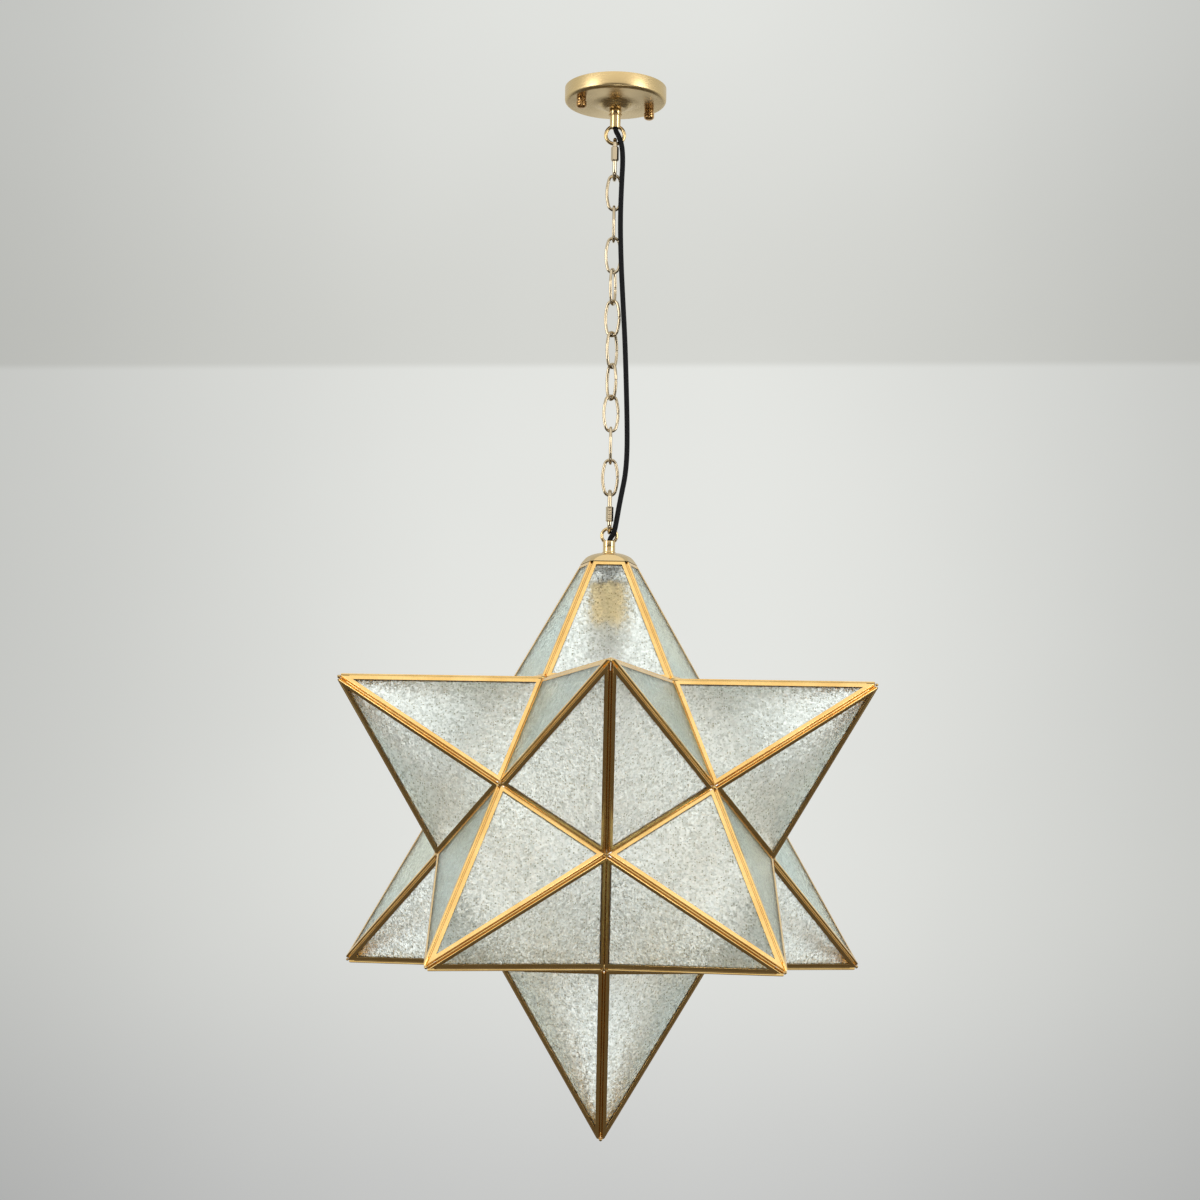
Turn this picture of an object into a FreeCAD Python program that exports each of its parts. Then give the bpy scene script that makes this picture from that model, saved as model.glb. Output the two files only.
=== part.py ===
import FreeCAD, Part
import math
import os
import re
import Sketcher

# A moravian star pendant: a twelve-pointed glass star framed in brass U-channel, hung from a
# round ceiling canopy by two quick links, ten oval chain links and a black cord beside them.
# Millimetres, +Z up. The origin is the centre of the ceiling face, and the viewer stands at -Y.

SIZES = {
    # ceiling canopy
    "canopy_width": 100,
    "canopy_depth": 15.3,
    "canopy_wall": 1.2,
    "canopy_edge_round": 2.5,
    "bell_height": 5.9,
    "bell_flare_radius": 24,
    "bell_waist_radius": 16.5,
    "bell_waist_drop": 1.3,
    "bell_end_radius": 10,
    "bell_end_bend": 15.6,
    "bell_flare_bend": 13.5,
    "bracket_end_gap": 4.8,
    "bracket_width": 18,
    "bracket_thickness": 1.5,
    "bracket_turn": 25.5,
    "bracket_hole_width": 5,
    "bracket_cable_hole": 12,
    "stud_end_inset": 6.8,
    "screw_inset": 7.2,
    "stud_width": 4,
    "stud_hole_clearance": 0.3,
    "nut_collar_width": 9.2,
    "nut_collar_height": 2.8,
    "nut_waist_width": 7.4,
    "nut_waist_height": 1,
    "nut_barrel_width": 10.2,
    "nut_barrel_height": 4.4,
    "nut_dome_height": 2.4,
    "nut_dome_step": 1,
    # threaded tubes and their nuts
    "nipple_width": 10,
    "nipple_bore": 6.6,
    "thread_clearance": 0.05,
    "seat_gap": 0.05,
    "locknut_across_flats": 14,
    "locknut_height": 3,
    "canopy_nipple_above": 3,
    "canopy_nipple_below": 6.5,
    # wiring
    "cord_width": 5,
    "cord_hole_clearance": 0.1,
    "core_width": 1.8,
    "core_gap": 0.2,
    "core_play": 0.2,
    "lead_upright_gap": 4.5,
    "lead_bend_gap": 1.2,
    "lead_bend_out": 0.6,
    "lead_level_out": 3.8,
    "lead_slope": 0.01,
    "terminal_length": 14,
    "terminal_width": 12,
    "terminal_height": 8.5,
    "terminal_inset": 9,
    # loops that carry the chain
    "loop_shoulder_wall": 1.1,
    "loop_collar_step": 1.5,
    "loop_collar_drop": 5.4,
    "loop_collar_height": 1.4,
    "loop_neck_wall": 0.3,
    "loop_neck_length": 19.1,
    "loop_ring_width": 21.6,
    "loop_ring_wire": 3.6,
    "loop_cord_depth": 5.9,
    "loop_mouth_width": 6.4,
    "loop_mouth_depth": 2.3,
    "loop_edge_ease": 0.6,
    "loop_shoulder_ease": 0.5,
    "ring_sink": 0.1,
    "hub_wall": 0.9,
    "hub_flange_step": 1,
    "hub_flange_height": 1.2,
    "hub_height": 12.1,
    "hub_cord_depth": 5.6,
    "hub_core_length": 2.6,
    "star_ring_width": 17.5,
    "star_ring_wire": 3.2,
    # chain
    "chain_gap": 0.3,
    "link_wire": 3,
    "link_length": 37.8,
    "link_width": 17.3,
    "link_end_radius": 5.4,
    "quick_wire": 4,
    "quick_length": 44,
    "quick_width": 19,
    "quick_mouth": 4.5,
    "quick_mouth_inset": 1.3,
    "sleeve_length": 14.6,
    "sleeve_across_flats": 6.6,
    "sleeve_top_inset": 1.8,
    "sleeve_clearance": 0.06,
    "sleeve_chamfer": 0.9,
    # glass star
    "star_span": 500,
    "glass_thickness": 3,
    "glass_face_gap": 0.05,
    "glass_edge_gap": 0.4,
    "came_wall": 0.4,
    "came_flange": 3.8,
    "came_gap": 0.05,
    "bead_width": 1.8,
    "bead_start": 12,
    "bead_stop": 5,
    "tip_dot_width": 2.6,
    "tip_dot_sink": 1.56,
    "node_dot_width": 3.8,
    # crown of the star
    "crown_radius": 27,
    "cap_height": 10.1,
    "cap_overhang": 1.3,
    "cap_flat_margin": 0.6,
    "cap_wall": 1,
    "cap_arc_radius": 27,
    "spider_thickness": 2,
    "spider_drop": 4.5,
    "spider_gap": 0.2,
    "spider_nut_height": 4,
    "star_nipple_end": 2.85,
    # lamp holder
    "cup_width": 39,
    "cup_height": 42,
    "cup_wall": 1,
    "cup_top_wall": 3,
    "cup_drop": 28.3,
    "cup_shoulder": 2,
    "holder_gap": 0.1,
    "holder_core_gap": 4.15,
    "holder_flange_height": 4,
    "holder_skirt": 21,
    "holder_edge_ease": 1,
    "shell_gap": 0.2,
    "shell_end_gap": 2,
    "shell_bore": 26.8,
    "shell_wall": 0.5,
    "shell_length": 28,
    "shell_inset": 2,
    "contact_width": 8,
    "contact_height": 1.2,
}

# How far each oval link is turned about the vertical, as it hangs in the photograph, top first.
LINK_TURNS = (0, 90, 0, 70, -22, 48, -54, 14, 89, 0)

# The cord's route between its two ends, chosen by hand: it leaves the canopy's loop towards the
# viewer, hangs in a slack bow to the right of the chain and comes back into the star's loop.
CORD_ROUTE = (
    (0, 0, -42.1),
    (3.4, -4.6, -49.2),
    (6.9, -6.6, -59.6),
    (8.0, -6.2, -75),
    (8.3, -5.7, -98),
    (8.6, -5.4, -134),
    (9.3, -5.2, -174),
    (10.9, -4.8, -214),
    (12.5, -4.2, -255),
    (14.4, -3.4, -300),
    (15.8, -2.9, -340),
    (16.0, -2.8, -368),
    (14.5, -3.0, -388),
    (11.5, -3.6, -404),
    (8.8, -4.6, -419),
    (6.8, -5.6, -432),
    (4.5, -4.6, -444.6),
    (0, 0, -450),
)

POINT_SIDES = 5

# How much of the shorter run beside a corner of the cord or a core its bend may take.
BEND_SHARE = 0.45

# Lengths that follow from the driving sizes, in the order in which they are worked out.
LAYOUT = {
    "golden": "(1 + sqrt(5)) / 2",
    # sine and cosine of half the angle between two panes at an outer edge's groove
    "groove_sine": "1 / sqrt(1 + golden * golden)",
    "groove_cosine": "golden / sqrt(1 + golden * golden)",
    # hub, cap and lamp holder widths
    "hub_width": "nipple_width + 2 * hub_wall",
    "hub_flange_width": "hub_width + 2 * hub_flange_step",
    "cap_flat_radius": "hub_flange_width / 2 + cap_flat_margin",
    "cap_rim_radius": "crown_radius + cap_overhang",
    "holder_bore": "shell_bore + 2 * shell_wall + 2 * shell_gap",
    "holder_bore_depth": "shell_inset + shell_length + shell_end_gap",
    "holder_core_drop": "cup_top_wall + star_nipple_end + holder_core_gap",
    # star, from its centre
    "star_radius": "star_span * sqrt(5) / (4 * sin(72))",
    "pane_half_base": "star_span * (sqrt(5) - 2) / 2",
    "pane_height": "pane_half_base * tan(72)",
    "came_depth": "glass_thickness + 2 * glass_face_gap + 2 * came_wall",
    "pane_setback": "came_depth / 2 / golden + came_gap",
    "crown_level": "star_radius - crown_radius * golden",
    "crown_pane_height": "pane_height - crown_radius * golden * sqrt(5) / 2",
    "crown_half_top": "crown_radius * sin(36)",
    "cap_top": "crown_level + cap_height",
    "hub_top": "cap_top + hub_height",
    "star_ring_rise": "hub_top + star_ring_width / 2 - star_ring_wire - ring_sink",
    # canopy and loop, from the ceiling
    "bracket_length": "canopy_width - 2 * canopy_wall - 2 * bracket_end_gap",
    "stud_circle": "bracket_length - 2 * stud_end_inset",
    "bracket_hole_circle": "stud_circle - 2 * screw_inset",
    "core_spacing": "core_width + core_gap",
    "core_hole": "core_spacing + core_width + core_play",
    "loop_shoulder_width": "nipple_width + 2 * loop_shoulder_wall",
    "loop_neck_width": "nipple_width + 2 * loop_neck_wall",
    "loop_collar_width": "loop_neck_width + 2 * loop_collar_step",
    "bell_end": "-canopy_depth - bell_height",
    "neck_end": "bell_end - loop_neck_length",
    "loop_ring_centre": "neck_end + ring_sink - loop_ring_width / 2 + loop_ring_wire",
    # chain, each piece resting on the one above
    "quick_top_high": "loop_ring_centre - loop_ring_width / 2 + loop_ring_wire + chain_gap + quick_wire",
    "quick_top_centre": "quick_top_high - quick_length / 2",
    "first_link_high": "quick_top_high - quick_length + quick_wire + chain_gap + link_wire",
    "link_pitch": "link_length - 2 * link_wire - chain_gap",
    "last_link_low": "first_link_high - %d * link_pitch - link_length" % (len(LINK_TURNS) - 1),
    "quick_bottom_high": "last_link_low + link_wire + chain_gap + quick_wire",
    "quick_bottom_centre": "quick_bottom_high - quick_length / 2",
    "star_ring_high": "quick_bottom_high - quick_length + quick_wire + chain_gap + star_ring_wire",
    "star_ring_centre": "star_ring_high - star_ring_width / 2",
    "star_centre": "star_ring_centre - star_ring_rise",
    "leg_offset": "(quick_width - quick_wire) / 2",
    "leg_top": "quick_length / 2 - quick_width / 2",
    "sleeve_top": "leg_top - sleeve_top_inset",
    # crown hardware and lamp holder, from the star's centre
    "spider_top": "crown_level - spider_drop",
    "spider_low": "spider_top - spider_thickness",
    "cup_top": "cap_top - cup_drop",
    "cup_low": "cup_top - cup_height",
    "holder_low": "cup_low - holder_flange_height - holder_skirt",
    "holder_radius": "cup_width / 2 - cup_wall - holder_gap",
    "holder_top": "cup_top - holder_core_drop",
    "hub_bore_top": "hub_top - hub_cord_depth - hub_core_length",
    "star_nipple_low": "cup_top - cup_top_wall - star_nipple_end",
    "star_nipple_length": "hub_bore_top - seat_gap - star_nipple_low",
}

V = FreeCAD.Vector
UP = V(0, 0, 1)


# ---------------------------------------------------------------- document, sizes and helpers

doc = FreeCAD.newDocument("moravian_star_pendant")
sheet = doc.addObject("Spreadsheet::Sheet", "Sizes")
layout = doc.addObject("App::FeaturePython", "Layout")


def bound(formula):
    """A formula in plain size names, with each name pointed at the object that holds it."""
    def point(match):
        word = match.group(0)
        if word in SIZES:
            return "Sizes." + word
        return "Layout." + word if word in LAYOUT else word
    return re.sub(r"[A-Za-z_][A-Za-z_0-9]*", point, str(formula))


def fill_sheet():
    for row, (name, number) in enumerate(SIZES.items(), start=1):
        sheet.set("A%d" % row, name)
        sheet.set("B%d" % row, str(number))
        sheet.setAlias("B%d" % row, name)
    doc.recompute()
    for name, formula in LAYOUT.items():
        layout.addProperty("App::PropertyFloat", name, "Layout")
        layout.setExpression(name, bound(formula))
        doc.recompute()


def size(formula):
    """The value of a size, or of a formula of sizes, in millimetres."""
    return float(layout.evalExpression(bound(formula)))


def bind(thing, **formulas):
    """Binds properties of an object to formulas; x, y and z mean its place."""
    places = {"x": "Placement.Base.x", "y": "Placement.Base.y", "z": "Placement.Base.z"}
    for name, formula in formulas.items():
        thing.setExpression(places.get(name, name), bound(formula))
    return thing


def primitive(kind, name, **formulas):
    return bind(doc.addObject("Part::" + kind, name), **formulas)


def labelled(thing, name):
    thing.Label = name
    return thing


def cut(name, base, tool):
    thing = doc.addObject("Part::Cut", name)
    thing.Base = base
    thing.Tool = tool
    return thing


def fuse(name, *pieces):
    thing = doc.addObject("Part::MultiFuse", name)
    thing.Shapes = list(pieces)
    return thing


def group(name, *pieces):
    """Several separate solids that share one node."""
    thing = doc.addObject("Part::Compound", name)
    thing.Links = list(pieces)
    return thing


def origin_plane(body, role):
    return next(f for f in body.Origin.OriginFeatures if f.Role == role)


def outline_sketch(body, name, role, corners):
    """A closed outline on one of the body's origin planes.

    Each corner is (across, up) or (across, up, bend), all formulas. A bend rounds the side that
    starts there to that radius, to the left of its direction if above 0 and to the right if below.
    """
    sketch = body.newObject("Sketcher::SketchObject", name)
    sketch.AttachmentSupport = (origin_plane(body, role), [""])
    sketch.MapMode = "FlatFace"
    spots = [V(size(c[0]), size(c[1]), 0) for c in corners]
    ends = []
    for i, corner in enumerate(corners):
        here, there = spots[i], spots[(i + 1) % len(corners)]
        if len(corner) == 2:
            sketch.addGeometry(Part.LineSegment(here, there), False)
            ends.append((1, 2))
            continue
        radius = size(corner[2])
        chord = there - here
        left = V(-chord.y, chord.x, 0).normalize()
        reach = math.sqrt(radius ** 2 - (chord.Length / 2) ** 2)
        side = 1 if radius > 0 else -1
        centre = (here + there) * 0.5 - left * reach * side
        circle = Part.Circle(centre, UP, abs(radius))
        first, last = (there, here) if radius > 0 else (here, there)
        sketch.addGeometry(Part.ArcOfCircle(circle, circle.parameter(first), circle.parameter(last)), False)
        ends.append((2, 1) if radius > 0 else (1, 2))
    for i, corner in enumerate(corners):
        start = ends[i][0]
        before = (i - 1) % len(corners)
        sketch.addConstraint(Sketcher.Constraint("Coincident", before, ends[before][1], i, start))
        across = sketch.addConstraint(Sketcher.Constraint("DistanceX", -1, 1, i, start, spots[i].x))
        rise = sketch.addConstraint(Sketcher.Constraint("DistanceY", -1, 1, i, start, spots[i].y))
        sketch.setExpression("Constraints[%d]" % across, bound(corner[0]))
        sketch.setExpression("Constraints[%d]" % rise, bound(corner[1]))
        if len(corner) == 3:
            bend = sketch.addConstraint(Sketcher.Constraint("Radius", i, abs(size(corner[2]))))
            sketch.setExpression("Constraints[%d]" % bend, "abs(%s)" % bound(corner[2]))
    return sketch


def turned(name, corners, **place):
    """A piece turned on a lathe: an outline of (radius, height) spun about the vertical."""
    body = doc.addObject("PartDesign::Body", name)
    sketch = outline_sketch(body, name + "_outline", "XZ_Plane", corners)
    spin = body.newObject("PartDesign::Revolution", name + "_spin")
    spin.Profile = sketch
    spin.ReferenceAxis = (sketch, ["V_Axis"])
    spin.Angle = 360
    body.Tip = spin
    return bind(body, **place)


def ring(name, across, wire, **place):
    """A round eye of wire that stands in the XZ plane."""
    eye = primitive("Torus", name, Radius1="(%s - %s) / 2" % (across, wire), Radius2="%s / 2" % wire, **place)
    eye.Placement.Rotation = FreeCAD.Rotation(V(1, 0, 0), 90)
    return eye


def hex_nut(name, flats, height, bore, **place):
    block = primitive("Prism", name + "_hexagon", Circumradius="%s / sqrt(3)" % flats, Height=height, **place)
    block.Polygon = 6
    hole = primitive("Cylinder", name + "_thread", Radius=bore, Height=height, **place)
    return cut(name, block, hole)


def tube_along(points, radius):
    """A round tube along straight runs, joined by tangent arcs as large as the runs allow."""
    edges = []
    radii = []
    at = points[0]
    for before, here, after in zip(points, points[1:], points[2:]):
        back = before - here
        on = after - here
        turn = math.pi - back.getAngle(on)
        reach = BEND_SHARE * min(back.Length, on.Length)
        radii.append(reach / math.tan(turn / 2))
        enter = here + back.normalize() * reach
        leave = here + on.normalize() * reach
        inward = (back + on).normalize()
        middle = here + inward * (radii[-1] / math.cos(turn / 2) - radii[-1])
        edges.append(Part.LineSegment(at, enter).toShape())
        edges.append(Part.Arc(enter, middle, leave).toShape())
        at = leave
    edges.append(Part.LineSegment(at, points[-1]).toShape())
    spine = Part.Wire(edges)
    section = Part.Wire(Part.makeCircle(radius, points[0], points[1] - points[0]))
    return spine.makePipeShell([section], True, True), radii, spine.Length


def shaped(name, shape):
    """A piece whose shape this source works out from the sizes."""
    thing = doc.addObject("Part::Feature", name)
    thing.Shape = shape
    return thing


# ---------------------------------------------------------------- ceiling canopy


def on_bracket(distance, spread="0"):
    """Place formulas for a spot on the bracket's long axis, and beside it."""
    return {
        "x": "(%s) * cos(bracket_turn) - (%s) * sin(bracket_turn)" % (distance, spread),
        "y": "(%s) * sin(bracket_turn) + (%s) * cos(bracket_turn)" % (distance, spread),
    }


def make_ceiling_bracket():
    bar = primitive("Box", "bracket_bar", Length="bracket_length", Width="bracket_width",
                    Height="bracket_thickness", z="-bracket_thickness",
                    **on_bracket("-bracket_length / 2", "-bracket_width / 2"))
    bind(bar, **{"Placement.Rotation.Angle": "bracket_turn"})
    depth = {"Height": "bracket_thickness", "z": "-bracket_thickness"}
    holes = [primitive("Cylinder", "bracket_cable_hole", Radius="bracket_cable_hole / 2", **depth)]
    for side, sign in (("left", "-"), ("right", "")):
        holes.append(primitive("Cylinder", "bracket_screw_hole_" + side, Radius="bracket_hole_width / 2",
                               **depth, **on_bracket(sign + "bracket_hole_circle / 2")))
        holes.append(primitive("Cylinder", "bracket_stud_hole_" + side, Radius="stud_width / 2 + seat_gap",
                               **depth, **on_bracket(sign + "stud_circle / 2")))
    return cut("ceiling_bracket", bar, fuse("bracket_holes", *holes))


def make_canopy_studs():
    length = "canopy_depth + nut_collar_height + nut_waist_height"
    studs = [
        primitive("Cylinder", "canopy_stud_" + side, Radius="stud_width / 2", Height=length,
                  z="-(%s)" % length, **on_bracket(sign + "stud_circle / 2"))
        for side, sign in (("left", "-"), ("right", ""))
    ]
    return group("canopy_studs", *studs)


def make_canopy_cover():
    """A spun cup: a flat floor with a shallow bell at its middle that the loop hangs from."""
    floor = "-canopy_depth"
    inside = "-canopy_depth + canopy_wall"
    rim = "canopy_width / 2"
    skin = turned("canopy_spinning", [
        ("nipple_width / 2 + thread_clearance", "bell_end"),
        ("bell_end_radius", "bell_end", "-bell_end_bend"),
        ("bell_waist_radius", floor + " - bell_waist_drop", "bell_flare_bend"),
        ("bell_flare_radius", floor),
        (rim + " - canopy_edge_round", floor, "-canopy_edge_round"),
        (rim, floor + " + canopy_edge_round"),
        (rim, "0"),
        (rim + " - canopy_wall", "0"),
        (rim + " - canopy_wall", inside + " + canopy_edge_round"),
        (rim + " - canopy_wall - canopy_edge_round", inside),
        ("bell_flare_radius - canopy_wall", inside),
        ("bell_waist_radius - canopy_wall / 2", inside + " - bell_waist_drop"),
        ("bell_end_radius - canopy_wall / 2", "bell_end + canopy_wall"),
        ("nipple_width / 2 + thread_clearance", "bell_end + canopy_wall"),
    ])
    holes = [
        primitive("Cylinder", "canopy_stud_hole_" + side, Radius="stud_width / 2 + stud_hole_clearance",
                  Height="2 * canopy_wall", z="-canopy_depth - canopy_wall / 2",
                  **on_bracket(sign + "stud_circle / 2"))
        for side, sign in (("left", "-"), ("right", ""))
    ]
    return cut("canopy_cover", skin, fuse("canopy_stud_holes", *holes))


def make_cap_nuts():
    """Two turned finger nuts, blind at the bottom, that hold the canopy up on its studs."""
    bore = "stud_width / 2 + thread_clearance"
    bore_top = "nut_collar_height + nut_waist_height + seat_gap"
    low = "nut_collar_height + nut_waist_height + nut_barrel_height"
    nuts = []
    for side, sign in (("left", "-"), ("right", "")):
        nuts.append(turned("cap_nut_" + side, [
            (bore, "0"),
            (bore, "-(%s)" % bore_top),
            ("0", "-(%s)" % bore_top),
            ("0", "-(%s) - nut_dome_height" % low),
            ("nut_waist_width / 2 - nut_dome_step", "-(%s) - nut_dome_height" % low, "nut_barrel_width / 2"),
            ("nut_barrel_width / 2", "-(%s)" % low),
            ("nut_barrel_width / 2", "-(nut_collar_height + nut_waist_height)"),
            ("nut_waist_width / 2", "-(nut_collar_height + nut_waist_height)"),
            ("nut_waist_width / 2", "-nut_collar_height"),
            ("nut_collar_width / 2", "-nut_collar_height"),
            ("nut_collar_width / 2", "0"),
        ], z="-canopy_depth - seat_gap", **on_bracket(sign + "stud_circle / 2")))
    return group("cap_nuts", *nuts)


def make_canopy_nipple():
    top = "bell_end + canopy_wall + locknut_height + canopy_nipple_above"
    place = {"Height": "%s - bell_end + canopy_nipple_below" % top, "z": "bell_end - canopy_nipple_below"}
    body = primitive("Cylinder", "canopy_nipple_outside", Radius="nipple_width / 2", **place)
    bore = primitive("Cylinder", "canopy_nipple_inside", Radius="nipple_bore / 2", **place)
    return cut("canopy_nipple", body, bore)


def make_canopy_locknut():
    return hex_nut("canopy_locknut", "locknut_across_flats", "locknut_height",
                   "nipple_width / 2 + thread_clearance", z="bell_end + canopy_wall + seat_gap")


def make_canopy_loop():
    """The turned hub under the bell, its cord way and the eye that the chain hangs in."""
    bore = "nipple_width / 2 + thread_clearance"
    bore_end = "-canopy_nipple_below - seat_gap"
    cord_end = "-loop_neck_length + loop_cord_depth"
    mouth = "-loop_neck_length + loop_mouth_depth"
    cord_way = "cord_width / 2 + cord_hole_clearance"
    collar = "-loop_collar_drop - loop_collar_height"
    hub = turned("canopy_loop_hub", [
        (bore, "0"),
        (bore, bore_end),
        ("core_hole / 2", bore_end),
        ("core_hole / 2", cord_end),
        (cord_way, cord_end),
        (cord_way, mouth),
        ("loop_mouth_width / 2", mouth),
        ("loop_mouth_width / 2", "-loop_neck_length"),
        ("loop_neck_width / 2", "-loop_neck_length"),
        ("loop_neck_width / 2", collar),
        ("loop_collar_width / 2", collar),
        ("loop_collar_width / 2", "-loop_collar_drop"),
        ("loop_shoulder_width / 2 - loop_edge_ease", "-loop_collar_drop + loop_edge_ease"),
        ("loop_shoulder_width / 2", "-loop_collar_drop / 2"),
        ("loop_shoulder_width / 2 - loop_shoulder_ease", "0"),
    ], z="bell_end - seat_gap")
    eye = ring("canopy_loop_eye", "loop_ring_width", "loop_ring_wire", z="loop_ring_centre")
    low = "neck_end - loop_ring_wire - seat_gap"
    way = primitive("Cylinder", "canopy_loop_cord_way", Radius=cord_way,
                    Height="loop_cord_depth + loop_ring_wire", z=low)
    flare = primitive("Cylinder", "canopy_loop_mouth", Radius="loop_mouth_width / 2",
                      Height="loop_mouth_depth + loop_ring_wire", z=low)
    return cut("canopy_loop", fuse("canopy_loop_casting", hub, eye), fuse("canopy_loop_holes", way, flare))


def make_terminal_block():
    """The connector on the underside of the bracket where the cord's cores end."""
    block = primitive("Box", "terminal_body", Length="terminal_length", Width="terminal_width",
                      Height="terminal_height", z="-bracket_thickness - seat_gap - terminal_height",
                      **on_bracket("terminal_inset", "-terminal_width / 2"))
    bind(block, **{"Placement.Rotation.Angle": "bracket_turn"})
    sockets = []
    for side, sign in (("near", "-"), ("far", "")):
        socket = primitive("Cylinder", "terminal_socket_" + side, Radius="core_width / 2 + seat_gap",
                           Height="terminal_length / 2",
                           z="-bracket_thickness - terminal_height / 2",
                           **on_bracket("terminal_inset", sign + "core_spacing / 2"))
        spin = FreeCAD.Rotation(UP, size("bracket_turn")) * FreeCAD.Rotation(V(0, 1, 0), 90)
        socket.Placement.Rotation = spin
        sockets.append(socket)
    return cut("terminal_block", block, fuse("terminal_sockets", *sockets))


def make_canopy_leads():
    """The cord's two cores, up through the threaded tube and over into the terminal block."""
    turn = math.radians(size("bracket_turn"))
    start = size("neck_end + loop_cord_depth")
    rise = size("-bracket_thickness - terminal_height / 2")
    reach = size("terminal_inset + terminal_length / 2") - size("seat_gap")
    leads = []
    profile = (
        (0, start),
        (0, rise - size("lead_upright_gap")),
        (size("lead_bend_out"), rise - size("lead_bend_gap")),
        (size("lead_level_out"), rise),
        (reach, rise + size("lead_slope")),
    )
    for spread in (-size("core_spacing") / 2, size("core_spacing") / 2):
        route = []
        for along, height in profile:
            x = along * math.cos(turn) - spread * math.sin(turn)
            y = along * math.sin(turn) + spread * math.cos(turn)
            route.append(V(x, y, height))
        leads.append(tube_along(route, size("core_width") / 2)[0])
    return shaped("canopy_leads", Part.makeCompound(leads))


# ---------------------------------------------------------------- chain


def bent_ring(length, width, wire, end_radius):
    """Wire bent into an oval in the XZ plane: two tight ends joined by two long tangent arcs."""
    half_length = (length - wire) / 2
    half_width = (width - wire) / 2
    end_rise = half_length - end_radius
    side_radius = (half_length ** 2 + half_width ** 2 - 2 * half_length * end_radius)
    side_radius = side_radius / (2 * (half_width - end_radius))
    lean = math.asin(end_rise / (side_radius - end_radius))
    meet = V(end_radius * math.cos(lean), 0, end_rise + end_radius * math.sin(lean))
    stations = [
        V(half_width, 0, 0), meet, V(0, 0, half_length), V(-meet.x, 0, meet.z),
        V(-half_width, 0, 0), V(-meet.x, 0, -meet.z), V(0, 0, -half_length), V(meet.x, 0, -meet.z),
    ]
    ends = [
        Part.Arc(stations[7], stations[0], stations[1]),
        Part.Arc(stations[1], stations[2], stations[3]),
        Part.Arc(stations[3], stations[4], stations[5]),
        Part.Arc(stations[5], stations[6], stations[7]),
    ]
    spine = Part.Wire([arc.toShape() for arc in ends])
    section_way = V(-math.sin(lean), 0, math.cos(lean))
    section = Part.Wire(Part.makeCircle(wire / 2, stations[7], V(-section_way.x, 0, section_way.z)))
    return spine.makePipeShell([section], True, True)


def make_chain_links():
    """Ten oval links, each hung in the one above and turned as the photograph shows."""
    shape = bent_ring(size("link_length"), size("link_width"), size("link_wire"), size("link_end_radius"))
    links = []
    for number, turn in enumerate(LINK_TURNS):
        link = shaped("chain_link_%02d" % (number + 1), shape)
        link.Placement.Rotation = FreeCAD.Rotation(UP, turn)
        bind(link, z="first_link_high - link_length / 2 - %d * link_pitch" % number)
        links.append(link)
    return links


def make_quick_link(name, centre, flip):
    """A long oval of wire in the YZ plane, with a mouth in its front leg under the sleeve."""
    wire = size("quick_wire")
    offset = size("leg_offset")
    straight = size("leg_top")
    legs = [Part.LineSegment(V(0, y, -straight * s), V(0, y, straight * s)) for y, s in ((offset, 1), (-offset, -1))]
    top = Part.Arc(V(0, offset, straight), V(0, 0, straight + offset), V(0, -offset, straight))
    low = Part.Arc(V(0, -offset, -straight), V(0, 0, -straight - offset), V(0, offset, -straight))
    spine = Part.Wire([e.toShape() for e in (legs[0], top, legs[1], low)])
    section = Part.Wire(Part.makeCircle(wire / 2, V(0, offset, -straight), UP))
    body = spine.makePipeShell([section], True, True)
    mouth_top = size("sleeve_top - quick_mouth_inset")
    mouth = Part.makeCylinder(wire, size("quick_mouth"), V(0, -offset, mouth_top - size("quick_mouth")), UP)
    link = shaped(name, body.cut(mouth))
    link.Placement.Rotation = FreeCAD.Rotation(V(0, 1, 0), 180 if flip else 0)
    return bind(link, z=centre)


def make_sleeve(name, centre, flip):
    """The hexagonal sleeve that screws along the front leg and closes the mouth."""
    low = "%s + (%s)" % (centre, "-sleeve_top" if flip else "sleeve_top - sleeve_length")
    place = {"y": "-leg_offset", "z": low}
    nut = hex_nut(name + "_nut", "sleeve_across_flats", "sleeve_length",
                  "quick_wire / 2 + sleeve_clearance", **place)
    corner = "sleeve_across_flats / sqrt(3)"
    envelope = turned(name + "_envelope", [
        ("0", "0"),
        (corner + " - sleeve_chamfer", "0"),
        (corner, "sleeve_chamfer"),
        (corner, "sleeve_length - sleeve_chamfer"),
        (corner + " - sleeve_chamfer", "sleeve_length"),
        ("0", "sleeve_length"),
    ], **place)
    sleeve = doc.addObject("Part::MultiCommon", name)
    sleeve.Shapes = [nut, envelope]
    return sleeve


# ---------------------------------------------------------------- star: where its points are


def star_points():
    """The twelve tips by name, from the star's centre: one up, one down and two rings of five."""
    radius = size("star_radius")
    height = radius / math.sqrt(5)
    tips = {"top": V(0, 0, radius), "bottom": V(0, 0, -radius)}
    for number in range(POINT_SIDES):
        for ring_name, rise, first in (("upper", height, 0), ("lower", -height, 36)):
            turn = math.radians(first + 72 * number)
            spot = V(2 * height * math.sin(turn), -2 * height * math.cos(turn), rise)
            tips["%s_%d" % (ring_name, number + 1)] = spot
    return tips


def star_nodes(tips):
    """The twenty inner corners, each between three neighbouring tips: {three tip names: place}."""
    side = size("star_span") / size("golden")
    near = {}
    for a in tips:
        for b in tips:
            for c in tips:
                if not a < b < c:
                    continue
                spans = [(tips[a] - tips[b]).Length, (tips[b] - tips[c]).Length, (tips[a] - tips[c]).Length]
                if max(spans) < 1.01 * side:
                    near[(a, b, c)] = (tips[a] + tips[b] + tips[c]).normalize()
    reach = size("pane_half_base") * math.sqrt(3) * size("golden")
    return {names: way * reach for names, way in near.items()}


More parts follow.
